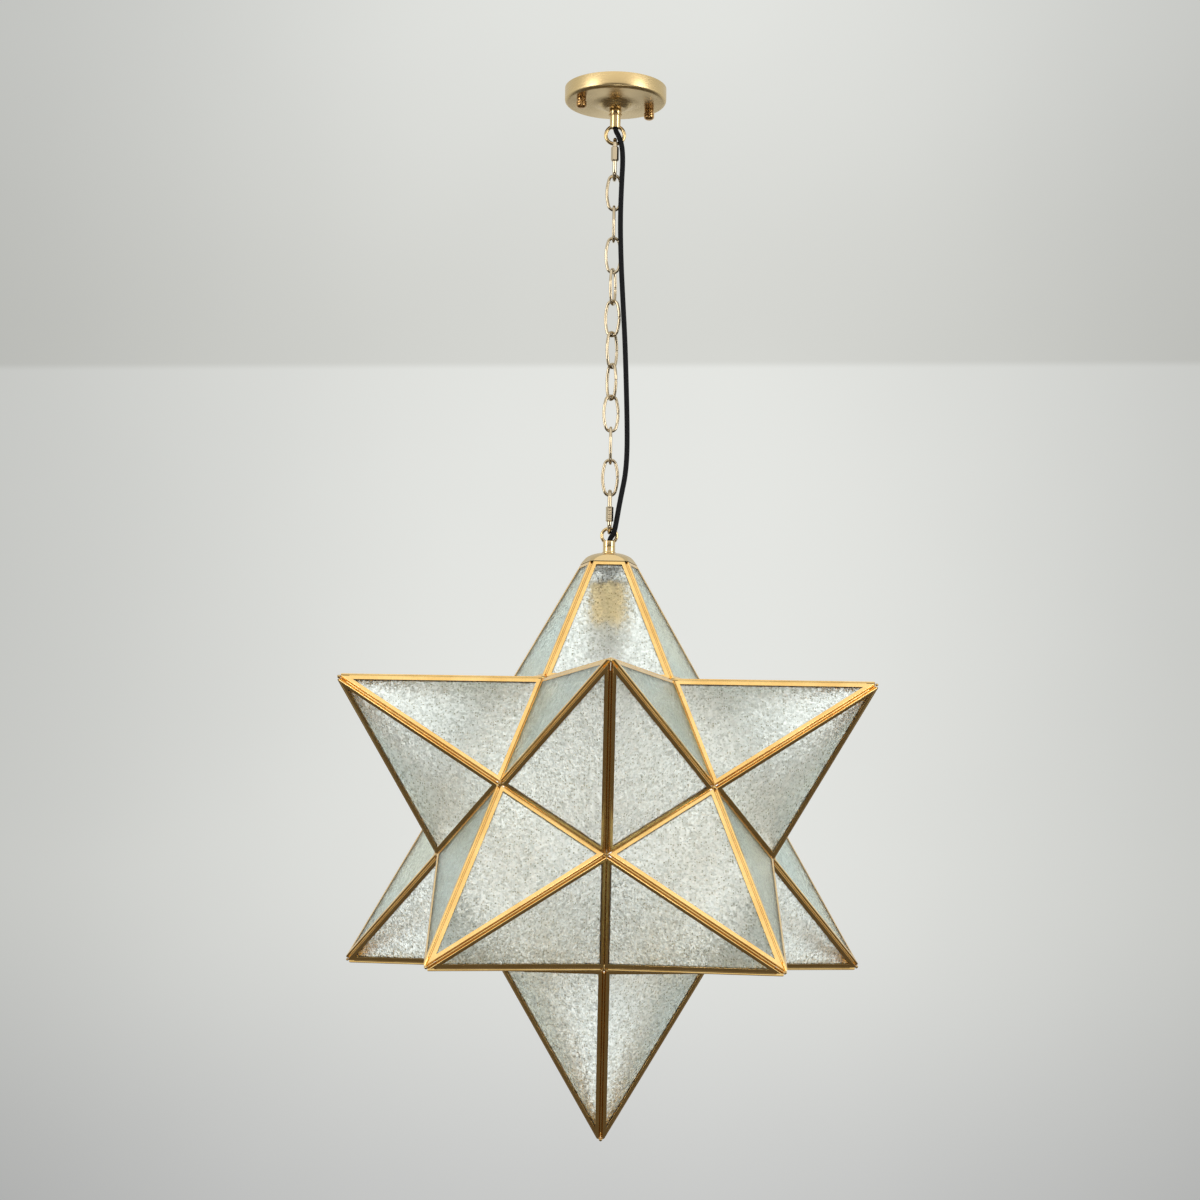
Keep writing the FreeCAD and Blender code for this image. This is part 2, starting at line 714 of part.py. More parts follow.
def panes_of(tip_name, tips, nodes):
    """The five panes round a tip, as (tip, one base corner, the other), seen from outside."""
    tip = tips[tip_name]
    corners = [spot for names, spot in nodes.items() if tip_name in names]
    axis = V(tip).normalize()
    across = (corners[0] - axis * corners[0].dot(axis)).normalize()
    along = axis.cross(across)
    corners.sort(key=lambda c: math.atan2(c.dot(along), c.dot(across)))
    return [(tip, corners[i], corners[(i + 1) % POINT_SIDES]) for i in range(POINT_SIDES)]


def pane_placement(tip, left, right):
    """Carries a pane drawn flat, base on X and tip on +Y, to its place; its +Z faces outwards."""
    middle = (left + right) * 0.5
    across = (right - left).normalize()
    along = (tip - middle).normalize()
    outward = across.cross(along)
    matrix = FreeCAD.Matrix(
        across.x, along.x, outward.x, middle.x,
        across.y, along.y, outward.y, middle.y,
        across.z, along.z, outward.z, middle.z,
        0, 0, 0, 1,
    )
    return FreeCAD.Placement(matrix)


# ---------------------------------------------------------------- star: glass and came


def pane_corners(inset, crown):
    """A pane's outline drawn in by INSET: a triangle, or with its tip cut off at the crown."""
    base = "pane_half_base - (%s) / tan(36)" % inset
    if not crown:
        return [("-(%s)" % base, inset), (base, inset), ("0", "pane_height - (%s) / sin(18)" % inset)]
    top = "crown_half_top - (%s) / tan(54)" % inset
    height = "crown_pane_height - (%s)" % inset
    return [("-(%s)" % base, inset), (base, inset), (top, height), ("-(%s)" % top, height)]


def flat_pane(name, inset, thickness, crown):
    """A body with one flat pane, its middle on the drawing plane."""
    body = doc.addObject("PartDesign::Body", name)
    sketch = outline_sketch(body, name + "_outline", "XY_Plane", pane_corners(inset, crown))
    pad = body.newObject("PartDesign::Pad", name + "_pad")
    pad.Profile = sketch
    pad.Midplane = True
    bind(pad, Length=thickness)
    body.Tip = pad
    return body


def mill_pane(body, name, inset, depth, crown):
    """Takes a smaller outline out of the middle of a pane's thickness, DEPTH deep."""
    sketch = outline_sketch(body, name + "_outline", "XY_Plane", pane_corners(inset, crown))
    pocket = body.newObject("PartDesign::Pocket", name)
    pocket.Profile = sketch
    pocket.Midplane = True
    bind(pocket, Length=depth)
    body.Tip = pocket


def make_pane_patterns(suffix, crown):
    """One pane of glass and the U-channel frame that holds it, drawn flat."""
    glass_inset = "pane_setback + came_wall + glass_edge_gap"
    glass = flat_pane("pane_glass" + suffix, glass_inset, "glass_thickness", crown)
    came = flat_pane("pane_came" + suffix, "pane_setback", "came_depth", crown)
    mill_pane(came, "came_window" + suffix, "pane_setback + came_flange", "2 * came_depth", crown)
    mill_pane(came, "came_slot" + suffix, "pane_setback + came_wall", "glass_thickness + 2 * glass_face_gap", crown)
    return glass, came


def ring_of(pattern, panes):
    return Part.makeCompound([
        pattern.Shape.transformed(pane_placement(*pane).toMatrix(), True) for pane in panes
    ])


def make_points(tips, nodes, patterns, crown_patterns):
    """Each point of the star is one node of five panes and one node of five channel frames."""
    made = []
    for tip_name in tips:
        glass, came = crown_patterns if tip_name == "top" else patterns
        panes = panes_of(tip_name, tips, nodes)
        for kind, pattern in (("glass_", glass), ("came_", came)):
            point = shaped(kind + tip_name, ring_of(pattern, panes))
            made.append(bind(point, z="star_centre"))
    return made


def bead(start, end, outward, offset, radius):
    way = end - start
    return Part.makeCylinder(radius, way.Length, start + outward * offset, way)


def make_ridge_beads(tips, nodes):
    """A thin brass bead down the groove between the two channels of each outer edge."""
    radius = size("bead_width") / 2
    offset = radius / size("groove_sine") - size("came_depth / 2 / groove_cosine")
    beads = []
    for tip_name in tips:
        panes = panes_of(tip_name, tips, nodes)
        first = size("bead_start")
        if tip_name == "top":
            first = size("crown_radius * golden / groove_cosine + came_flange")
        for one, other in zip(panes, panes[-1:] + panes[:-1]):
            tip, corner = one[0], one[1]
            normals = [pane_placement(*p).Rotation.multVec(UP) for p in (one, other)]
            outward = (normals[0] + normals[1]).normalize()
            way = (corner - tip).normalize()
            beads.append(bead(tip + way * first, corner - way * size("bead_stop"), outward, offset, radius))
    return bind(shaped("ridge_beads", Part.makeCompound(beads)), z="star_centre")


def make_solder_joints(tips, nodes):
    """Solder inside the valleys, where the points meet, with a dot on each tip and inner corner."""
    radius = size("bead_width") / 2
    offset = size("came_depth / 2 / groove_cosine") - radius / size("groove_sine")
    joints = []
    stop = size("bead_stop")
    for names, spot in nodes.items():
        joints.append(Part.makeSphere(size("node_dot_width") / 2, spot))
        for others, end in nodes.items():
            shared = set(names) & set(others)
            if names < others and len(shared) == 2:
                way = (end - spot).normalize()
                outward = ((end + spot) * 0.5).normalize()
                joints.append(bead(spot + way * stop, end - way * stop, outward, offset, radius))
    dot = size("tip_dot_width") / 2
    sink = size("came_depth / 2 * sqrt(5) - tip_dot_sink")
    for tip_name, tip in tips.items():
        if tip_name != "top":
            joints.append(Part.makeSphere(dot, tip - V(tip).normalize() * sink))
    return bind(shaped("solder_joints", Part.makeCompound(joints)), z="star_centre")


# ---------------------------------------------------------------- crown of the star


def crown_pyramid(low, high, skin):
    """The top point's five planes, moved outwards by SKIN, between two heights."""
    faces = []
    for level in (low, high):
        apothem = (size("star_radius") - level) / 2 + skin * math.sqrt(5) / 2
        radius = apothem / math.cos(math.radians(36))
        corners = []
        for number in range(POINT_SIDES + 1):
            turn = math.radians(36 + 72 * number)
            corners.append(V(radius * math.sin(turn), -radius * math.cos(turn), level))
        faces.append(Part.makePolygon(corners))
    return Part.makeLoft(faces, True, True)


def dome(rim, flat, base, top, bend):
    """A shallow round dome that stands on its rim."""
    chord = V(flat - rim, 0, top - base)
    middle = V((rim + flat) / 2, 0, (top + base) / 2)
    outward = V(chord.z, 0, -chord.x).normalize()
    bulge = bend - math.sqrt(bend ** 2 - (chord.Length / 2) ** 2)
    edges = [
        Part.LineSegment(V(0, 0, base), V(rim, 0, base)).toShape(),
        Part.Arc(V(rim, 0, base), middle + outward * bulge, V(flat, 0, top)).toShape(),
        Part.LineSegment(V(flat, 0, top), V(0, 0, top)).toShape(),
        Part.LineSegment(V(0, 0, top), V(0, 0, base)).toShape(),
    ]
    return Part.Face(Part.Wire(edges)).revolve(V(0, 0, 0), UP, 360)


def make_top_cap():
    """The pressed five-sided cap that closes the cut-off top point."""
    base = size("crown_level + came_gap")
    top = size("cap_top")
    wall = size("cap_wall")
    skin = size("came_depth") / 2
    rim = size("cap_rim_radius")
    flat = size("cap_flat_radius")
    bend = size("cap_arc_radius")
    outside = dome(rim, flat, base, top, bend).common(crown_pyramid(base, top, skin))
    hollow = dome(rim - wall, flat, base, top - wall, bend).common(crown_pyramid(base, top, skin - wall))
    hole = Part.makeCylinder(size("nipple_width / 2 + thread_clearance"), top, V(0, 0, base / 2), UP)
    return bind(shaped("top_cap", outside.cut(hollow).cut(hole)), z="star_centre")


def make_star_loop():
    """The turned hub on the cap, with the cord way down its middle and an eye on top."""
    bore = "nipple_width / 2 + thread_clearance"
    bore_top = "hub_bore_top - cap_top"
    cord_low = "hub_height - hub_cord_depth"
    mouth = "hub_height - loop_mouth_depth"
    cord_way = "cord_width / 2 + cord_hole_clearance"
    hub = turned("star_loop_hub", [
        (bore, "seat_gap"),
        ("hub_flange_width / 2", "seat_gap"),
        ("hub_flange_width / 2", "hub_flange_height"),
        ("hub_width / 2", "hub_flange_height + loop_edge_ease"),
        ("hub_width / 2", "hub_height"),
        ("loop_mouth_width / 2", "hub_height"),
        ("loop_mouth_width / 2", mouth),
        (cord_way, mouth),
        (cord_way, cord_low),
        ("core_hole / 2", cord_low),
        ("core_hole / 2", bore_top),
        (bore, bore_top),
    ], z="star_centre + cap_top")
    eye = ring("star_loop_eye", "star_ring_width", "star_ring_wire", z="star_ring_centre")
    way = primitive("Cylinder", "star_loop_cord_way", Radius=cord_way,
                    Height="hub_cord_depth + star_ring_wire",
                    z="star_centre + hub_top - hub_cord_depth")
    flare = primitive("Cylinder", "star_loop_mouth", Radius="loop_mouth_width / 2",
                      Height="loop_mouth_depth + star_ring_wire",
                      z="star_centre + hub_top - loop_mouth_depth")
    return cut("star_loop", fuse("star_loop_casting", hub, eye), fuse("star_loop_holes", way, flare))


def make_star_nipple():
    place = {"Height": "star_nipple_length", "z": "star_centre + star_nipple_low"}
    body = primitive("Cylinder", "star_nipple_outside", Radius="nipple_width / 2", **place)
    bore = primitive("Cylinder", "star_nipple_inside", Radius="nipple_bore / 2", **place)
    return cut("star_nipple", body, bore)


def make_top_spider():
    """The five-sided plate inside the crown that the frames are soldered to."""
    place = {"Height": "spider_thickness", "z": "star_centre + spider_low"}
    inside = "(star_radius - spider_top) / 2 - (came_depth / 2) * sqrt(5) / 2 - spider_gap"
    plate = primitive("Prism", "spider_plate", Circumradius="(%s) / cos(36)" % inside, **place)
    plate.Polygon = POINT_SIDES
    plate.Placement.Rotation = FreeCAD.Rotation(UP, 90)
    hole = primitive("Cylinder", "spider_hole", Radius="nipple_width / 2 + thread_clearance", **place)
    return cut("top_spider", plate, hole)


def make_spider_nut():
    return hex_nut("spider_nut", "locknut_across_flats", "spider_nut_height",
                   "nipple_width / 2 + thread_clearance",
                   z="star_centre + spider_low - seat_gap - spider_nut_height")


# ---------------------------------------------------------------- lamp holder


def make_holder_cup():
    return turned("holder_cup", [
        ("nipple_width / 2 + thread_clearance", "0"),
        ("cup_width / 2 - cup_shoulder", "0"),
        ("cup_width / 2", "-cup_shoulder"),
        ("cup_width / 2", "-cup_height"),
        ("cup_width / 2 - cup_wall", "-cup_height"),
        ("cup_width / 2 - cup_wall", "-cup_top_wall"),
        ("nipple_width / 2 + thread_clearance", "-cup_top_wall"),
    ], z="star_centre + cup_top")


def make_lamp_holder():
    """The porcelain body: a core inside the cup and a skirt with the lamp's bore below it."""
    low = "-holder_flange_height - holder_skirt"
    bore_top = low + " + holder_bore_depth"
    return turned("lamp_holder", [
        ("0", bore_top),
        ("holder_bore / 2", bore_top),
        ("holder_bore / 2", low),
        ("holder_radius - holder_edge_ease", low),
        ("holder_radius", low + " + holder_edge_ease"),
        ("holder_radius", "-holder_flange_height"),
        ("cup_width / 2", "-holder_flange_height"),
        ("cup_width / 2", "-seat_gap"),
        ("holder_radius", "-seat_gap"),
        ("holder_radius", "cup_height - holder_core_drop"),
        ("0", "cup_height - holder_core_drop"),
    ], z="star_centre + cup_low")


def make_screw_shell():
    place = {"Height": "shell_length", "z": "star_centre + holder_low + shell_inset"}
    outside = primitive("Cylinder", "shell_outside", Radius="shell_bore / 2 + shell_wall", **place)
    inside = primitive("Cylinder", "shell_inside", Radius="shell_bore / 2", **place)
    return cut("screw_shell", outside, inside)


def make_centre_contact():
    return primitive("Cylinder", "centre_contact", Radius="contact_width / 2", Height="contact_height",
                     z="star_centre + holder_low + holder_bore_depth - contact_height - seat_gap")


def make_holder_leads():
    """The cord's two cores, down through the star's threaded tube to the porcelain."""
    length = "hub_top - hub_cord_depth - holder_top - 2 * seat_gap"
    cores = [
        primitive("Cylinder", "holder_lead_" + side, Radius="core_width / 2", Height=length,
                  x=sign + "core_spacing / 2", z="star_centre + holder_top + seat_gap")
        for side, sign in (("left", "-"), ("right", ""))
    ]
    return group("holder_leads", *cores)


# ---------------------------------------------------------------- cord


def make_power_cord():
    """The cord from the canopy's loop to the star's, one round tube along its slack route."""
    start = V(0, 0, size("neck_end - seat_gap + loop_cord_depth"))
    end = V(0, 0, size("star_centre + hub_top - hub_cord_depth"))
    route = [start] + [V(*spot) for spot in CORD_ROUTE] + [end]
    radius = size("cord_width") / 2
    tube, radii, length = tube_along(route, radius)
    print("cord length %.1f mm, bend radii %s" % (length, [round(r, 1) for r in radii]))
    print("cord volume %.1f, section times length %.1f" % (tube.Volume, math.pi * radius ** 2 * length))
    return shaped("power_cord", tube)


# ---------------------------------------------------------------- assembly and export


def make_all():
    tips = star_points()
    nodes = star_nodes(tips)
    patterns = make_pane_patterns("", False)
    crown_patterns = make_pane_patterns("_crown", True)
    doc.recompute()
    pieces = [
        make_ceiling_bracket(), make_canopy_studs(), make_canopy_cover(), make_cap_nuts(),
        make_canopy_nipple(), make_canopy_locknut(), make_canopy_loop(), make_terminal_block(),
        make_canopy_leads(),
        make_quick_link("quick_link_top", "quick_top_centre", False),
        make_sleeve("quick_link_top_sleeve", "quick_top_centre", False),
        make_quick_link("quick_link_bottom", "quick_bottom_centre", True),
        make_sleeve("quick_link_bottom_sleeve", "quick_bottom_centre", True),
        make_star_loop(), make_top_cap(), make_star_nipple(), make_top_spider(), make_spider_nut(),
        make_holder_cup(), make_lamp_holder(), make_screw_shell(), make_centre_contact(),
        make_holder_leads(), make_ridge_beads(tips, nodes), make_solder_joints(tips, nodes),
        make_power_cord(),
    ]
    pieces += make_chain_links()
    pieces += make_points(tips, nodes, patterns, crown_patterns)
    return pieces


def check(pieces):
    """Stops before anything is written if an object failed or a piece is empty or broken."""
    for thing in doc.Objects:
        if "Invalid" in thing.State or "Error" in thing.State:
            raise RuntimeError("%s did not build: %s" % (thing.Name, thing.State))
    for piece in pieces:
        if piece.Shape.isNull() or not piece.Shape.isValid() or not piece.Shape.Solids:
            raise RuntimeError("%s has no sound shape" % piece.Label)


def main():
    fill_sheet()
    pieces = make_all()
    for piece in pieces:
        labelled(piece, piece.Name)
    doc.recompute()
    check(pieces)
    os.makedirs("parts", exist_ok=True)
    for piece in pieces:
        piece.Shape.exportStep("parts/%s.step" % piece.Label)
    print("%d pieces, %d solids" % (len(pieces), sum(len(p.Shape.Solids) for p in pieces)))


main()
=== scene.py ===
# %% [markdown]
# # A glass star pendant, finished in Blender
# The metal and glass parts were modelled at real size beforehand. This lesson loads them as a
# fixed frame, gives every part its finish and makes again, in finer form, the pieces that deserve
# more than a plain solid: the cord, the turned brass and the leading of the star.

# %% Load the frame
import math

import bmesh
import bpy
from mathutils import Matrix, Vector


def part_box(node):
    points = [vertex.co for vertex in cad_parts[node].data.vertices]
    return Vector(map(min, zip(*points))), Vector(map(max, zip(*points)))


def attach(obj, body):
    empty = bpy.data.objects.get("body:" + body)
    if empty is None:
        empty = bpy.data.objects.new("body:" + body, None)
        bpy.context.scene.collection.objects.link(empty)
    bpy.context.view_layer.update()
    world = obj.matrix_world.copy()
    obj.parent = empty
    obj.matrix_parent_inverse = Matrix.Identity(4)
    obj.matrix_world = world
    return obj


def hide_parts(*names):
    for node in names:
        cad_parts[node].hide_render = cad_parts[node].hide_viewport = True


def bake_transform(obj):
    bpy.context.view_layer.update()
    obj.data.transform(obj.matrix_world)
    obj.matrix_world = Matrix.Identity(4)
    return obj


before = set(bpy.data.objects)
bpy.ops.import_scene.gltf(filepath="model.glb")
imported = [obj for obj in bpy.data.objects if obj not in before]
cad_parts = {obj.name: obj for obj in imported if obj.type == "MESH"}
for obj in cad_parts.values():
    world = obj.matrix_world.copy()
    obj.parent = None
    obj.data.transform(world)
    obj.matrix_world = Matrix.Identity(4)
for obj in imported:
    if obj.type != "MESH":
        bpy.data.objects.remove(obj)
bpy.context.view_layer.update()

# %% [markdown]
# ## The camera
# The photographer stood a little over two metres away, with the lens at the height of the star,
# and tilted the camera up to take in the ceiling rose. A camera placed by hand would never line up
# with twenty star points at once, so its place and angles were worked out from where the tips and
# corners of the star fall in the picture. They are written here as plain angles.

# %% Camera
STAR_CENTRE = Vector((0, 0, -0.7241))
CAMERA_DISTANCE = 2.277
CAMERA_ROUND, CAMERA_ABOVE = -0.0108, -0.0354
CAMERA_YAW, CAMERA_PITCH, CAMERA_ROLL = -0.0073, 0.1294, -0.0150
CAMERA_LENS = 71.8


def make_camera():
    eye = bpy.data.objects.new("camera", bpy.data.cameras.new("camera"))
    bpy.context.scene.collection.objects.link(eye)
    eye.data.lens = CAMERA_LENS
    away = Vector((
        math.sin(CAMERA_ROUND) * math.cos(CAMERA_ABOVE),
        -math.cos(CAMERA_ROUND) * math.cos(CAMERA_ABOVE),
        math.sin(CAMERA_ABOVE),
    ))
    level = Matrix.Rotation(math.radians(90), 4, "X")
    aim = (
        Matrix.Rotation(CAMERA_YAW, 4, "Z")
        @ Matrix.Rotation(CAMERA_PITCH, 4, "X")
        @ Matrix.Rotation(CAMERA_ROLL, 4, "Y")
        @ level
    )
    eye.matrix_world = Matrix.Translation(STAR_CENTRE + away * CAMERA_DISTANCE) @ aim
    bpy.context.scene.camera = eye
    return eye


camera = make_camera()
bpy.context.scene.view_settings.view_transform = "Standard"
print("camera at", [round(x, 3) for x in camera.matrix_world.translation])

# %% [markdown]
# ## The cord
# A black two-core cord comes out of the upper eye, bows to the right of the chain and goes back
# into the eye on the star. It is a fixed length of something soft, so it is drawn as one smooth
# spline through the air. It could be a single bevelled curve, but the chain beside it bends at
# every link, so the spline is cut at the middle of each link.

# %% Cord route
CORD_WIDTH = 0.005
CORD_ROUTE = [
    (0, 0, -0.03445), (0, 0, -0.0421), (0.0034, -0.0046, -0.0492), (0.0069, -0.0066, -0.0596),
    (0.0080, -0.0062, -0.075), (0.0070, -0.0062, -0.098), (0.0062, -0.0064, -0.134),
    (0.0074, -0.0060, -0.174), (0.0098, -0.0052, -0.214), (0.0125, -0.0042, -0.255),
    (0.0144, -0.0034, -0.300), (0.0158, -0.0029, -0.340), (0.0160, -0.0028, -0.368),
    (0.0145, -0.0030, -0.388), (0.0115, -0.0036, -0.404), (0.0088, -0.0046, -0.419),
    (0.0068, -0.0056, -0.432), (0.0045, -0.0046, -0.4446), (0, 0, -0.450), (0, 0, -0.4573),
]


def smooth_line(route, name):
    """The points along a smooth spline with the route's points as its control points."""
    curve = bpy.data.curves.new(name, "CURVE")
    curve.dimensions = "3D"
    spline = curve.splines.new("NURBS")
    spline.points.add(len(route) - 1)
    for point, place in zip(spline.points, route):
        point.co = (*place, 1)
    spline.order_u = 3
    spline.use_endpoint_u = True
    spline.resolution_u = 24
    bare = bpy.data.objects.new(name, curve)
    mesh = bpy.data.meshes.new_from_object(bare)
    line = [v.co.copy() for v in mesh.vertices]
    bpy.data.objects.remove(bare)
    bpy.data.curves.remove(curve)
    bpy.data.meshes.remove(mesh)
    return line


def line_length(line):
    return sum((b - a).length for a, b in zip(line, line[1:]))


cord_line = smooth_line(CORD_ROUTE, "cord_route")
print("cord", round(line_length(cord_line), 4), "m along", len(cord_line), "points")

# %% [markdown]
# ## A short way to write shader nodes
# Every finish below is a small tree of shader nodes. Wired up by hand they hide the few numbers
# that matter, so one helper makes a node, sets its values and joins its links in a single call.
# The others are the steps that every tree needs: sums, mixed colours, noise, and a value carried
# from one range to another. A noise texture stays near its middle, so it is mostly stretched from
# one of the two ranges named here.

# %% Shader helpers
MOST_OF_NOISE = (0.30, 0.70)
MIDDLE_OF_NOISE = (0.35, 0.65)


def put(tree, kind, inputs=None, **settings):
    """One node: inputs are values or other nodes' outputs, settings are its own options."""
    made = tree.nodes.new(kind)
    for name, value in settings.items():
        setattr(made, name, value)
    for name, value in (inputs or {}).items():
        if isinstance(value, bpy.types.NodeSocket):
            tree.links.new(value, made.inputs[name])
        else:
            made.inputs[name].default_value = value
    return made


def maths(tree, operation, first, second=0.0):
    return put(tree, "ShaderNodeMath", {0: first, 1: second}, operation=operation).outputs[0]


def vector_maths(tree, operation, *vectors):
    return put(tree, "ShaderNodeVectorMath", dict(enumerate(vectors)), operation=operation).outputs[0]


def mixed(tree, share, first, second, way="MIX"):
    """Two colours, or a colour and an output, mixed by a share."""
    return put(tree, "ShaderNodeMix", {0: share, 6: first, 7: second},
               data_type="RGBA", blend_type=way).outputs[2]


def noise(tree, place, scale, detail):
    """Soft clouds, scale times to the metre."""
    return put(tree, "ShaderNodeTexNoise", {"Vector": place, "Scale": scale, "Detail": detail}).outputs[0]


def between(tree, value, low, high, to_low=0.0, to_high=1.0):
    """A value carried smoothly from one range to another."""
    return put(tree, "ShaderNodeMapRange", {0: value, 1: low, 2: high, 3: to_low, 4: to_high},
               interpolation_type="SMOOTHSTEP").outputs[0]


def fading(tree, value, low, high):
    """1 below the range, 0 above it."""
    return between(tree, value, low, high, 1.0, 0.0)


def bumped(tree, height, strength, depth):
    return put(tree, "ShaderNodeBump", {"Height": height, "Strength": strength, "Distance": depth}).outputs[0]


def new_finish(name):
    material = bpy.data.materials.new(name)
    material.use_nodes = True
    material.node_tree.nodes.clear()
    return material, material.node_tree


def done(tree, inputs):
    """The last two nodes of a finish: the surface, with these inputs, and the material's output."""
    surface = put(tree, "ShaderNodeBsdfPrincipled", inputs)
    put(tree, "ShaderNodeOutputMaterial", {"Surface": surface.outputs[0]})

# %% [markdown]
# ## The room
# The photograph shows a bare white room: a wall behind the lamp and a ceiling above it that meet
# in a faint line. Real planes would get in the way of the views from above and behind, so the room
# is a sky that only cameras, mirrors and glass look at. The camera and the glass see the same
# picture, and the glass sees it brighter, because two rough panes one behind the other swallow
# much of what passes. Brass mirrors a simpler room: dark on the photographer's side and below,
# bright overhead and at the sides, where the lights stand. The light that falls on the lamp is
# plain.

# %% Room
CEILING_EDGE, CEILING_LEAN = 0.2310, 0.020
EDGE_SOFTNESS = 0.002
WALL_FOOT, WALL_HEAD = (0.56, 0.565, 0.56, 1), (0.775, 0.785, 0.755, 1)
WALL_FADE = (-0.16, 0.03)
CEILING_FAR, CEILING_NEAR = (0.668, 0.674, 0.640, 1), (0.755, 0.765, 0.735, 1)
CEILING_FADE = (0.23, 0.40)
LIT_MIDDLE = 0.02
CORNER_FADE, CORNER_SHADE = (0.03, 0.32), 0.72
PAINT_PATCHES, PAINT_SHADES = 5.0, (0.985, 1.015)
DARK_BEHIND, BRIGHT_OVERHEAD, OVERHEAD_FADE = (0.09, 0.08, 0.07, 1), (1.25, 1.22, 1.16, 1), (0.05, 0.40)
BRIGHT_SIDES, SIDES_FADE, SIDES_SHARE = (0.95, 0.95, 0.93, 1), (0.52, 0.80), 0.9
WALL_IN_BRASS, WALL_IN_BRASS_FADE = (0.76, 0.77, 0.74, 1), (-0.45, 0.05)
DARK_BELOW, BELOW_FADE, NEAR_SIDE_FADE = (0.15, 0.135, 0.115, 1), (-0.50, -0.10), (0.20, 0.60)
PLAIN_LIGHT = (0.62, 0.62, 0.61, 1)
THROUGH_GLASS = (2.40, 2.52, 2.56, 1)


def room_picture(tree, direction):
    """The wall and the ceiling, with painted shade towards the wall's foot, the far ceiling and the corners.
    """
    x, y, z = put(tree, "ShaderNodeSeparateXYZ", {0: direction}).outputs
    wide = maths(tree, "MAXIMUM", maths(tree, "ABSOLUTE", x), maths(tree, "ABSOLUTE", y))
    across = maths(tree, "DIVIDE", x, wide)
    rise = maths(tree, "DIVIDE", z, wide)
    edge = maths(tree, "ADD", maths(tree, "MULTIPLY", across, CEILING_LEAN), CEILING_EDGE)
    ceiling = between(tree, maths(tree, "SUBTRACT", rise, edge), -EDGE_SOFTNESS, EDGE_SOFTNESS)
    # painted shade: the wall darker towards its foot, the ceiling darker far away
    wall_tone = mixed(tree, between(tree, rise, *WALL_FADE), WALL_FOOT, WALL_HEAD)
    ceiling_tone = mixed(tree, between(tree, rise, *CEILING_FADE), CEILING_FAR, CEILING_NEAR)
    off_middle = maths(tree, "ABSOLUTE", maths(tree, "SUBTRACT", across, LIT_MIDDLE))
    shade = between(tree, off_middle, *CORNER_FADE, 1.0, CORNER_SHADE)
    patches = between(tree, noise(tree, direction, PAINT_PATCHES, 3.0), *MOST_OF_NOISE, *PAINT_SHADES)
    # painted shade towards the corners, times random patches of paint
    shade_and_patches = maths(tree, "MULTIPLY", shade, patches)
    return mixed(tree, 1.0, mixed(tree, ceiling, wall_tone, ceiling_tone), shade_and_patches, "MULTIPLY")


def room_in_brass(tree, direction):
    """The simpler room that brass and the skin of the glass mirror."""
    x, y, z = put(tree, "ShaderNodeSeparateXYZ", {0: direction}).outputs
    behind = mixed(tree, between(tree, z, *OVERHEAD_FADE), DARK_BEHIND, BRIGHT_OVERHEAD)
    sides = between(tree, maths(tree, "ABSOLUTE", x), *SIDES_FADE, 0.0, SIDES_SHARE)
    behind = mixed(tree, sides, behind, BRIGHT_SIDES)
    mirrored = mixed(tree, between(tree, y, *WALL_IN_BRASS_FADE), behind, WALL_IN_BRASS)
    low = maths(tree, "MULTIPLY", fading(tree, z, *BELOW_FADE), fading(tree, y, *NEAR_SIDE_FADE))
    return mixed(tree, low, mirrored, DARK_BELOW)


def make_room():
    world = bpy.data.worlds.new("room")
    bpy.context.scene.world = world
    world.use_nodes = True
    tree = world.node_tree
    tree.nodes.clear()
    direction = put(tree, "ShaderNodeTexCoord").outputs["Generated"]
    picture = room_picture(tree, direction)
    ray = put(tree, "ShaderNodeLightPath").outputs
    colour = mixed(tree, ray["Is Glossy Ray"], PLAIN_LIGHT, room_in_brass(tree, direction))
    lit = mixed(tree, 1.0, picture, THROUGH_GLASS, "MULTIPLY")
    colour = mixed(tree, ray["Is Transmission Ray"], colour, lit)
    colour = mixed(tree, ray["Is Camera Ray"], colour, picture)
    sky = put(tree, "ShaderNodeBackground", {"Color": colour, "Strength": 1.0})
    put(tree, "ShaderNodeOutputWorld", {"Surface": sky.outputs[0]})


make_room()
print("room with its ceiling line at a rise of", CEILING_EDGE)

# %% [markdown]
# ## Floor and lights
# A pale floor lies far below, so that views from above end on something. Brass mirrors it dark,
# a painted reflection, which gives the flanges that face down their brown. Seen through the glass
# it glows a little, a painted glow like the room's. Two large soft lights stand at the sides, a
# little in front, and a weak one low in front fills in.

# %% Floor and lights
FLOOR_TONES = (0.66, 0.66, 0.64, 1), (0.72, 0.72, 0.70, 1)
# painted reflection of the floor in brass, and the floor's painted glow seen through glass
FLOOR_IN_BRASS = (0.12, 0.10, 0.08, 1)
FLOOR_THROUGH_GLASS = 0.9
LIGHTS_AIM = Vector((0, 0, -0.45))
SOFT_LIGHTS = {
    "left_light": ((-2.3, -1.7, 0.1), (1.0, 1.6), 26),
    "right_light": ((2.3, -1.7, 0.1), (1.0, 1.6), 26),
    "low_light": ((0.4, -2.4, -1.9), (1.2, 0.8), 8),
}


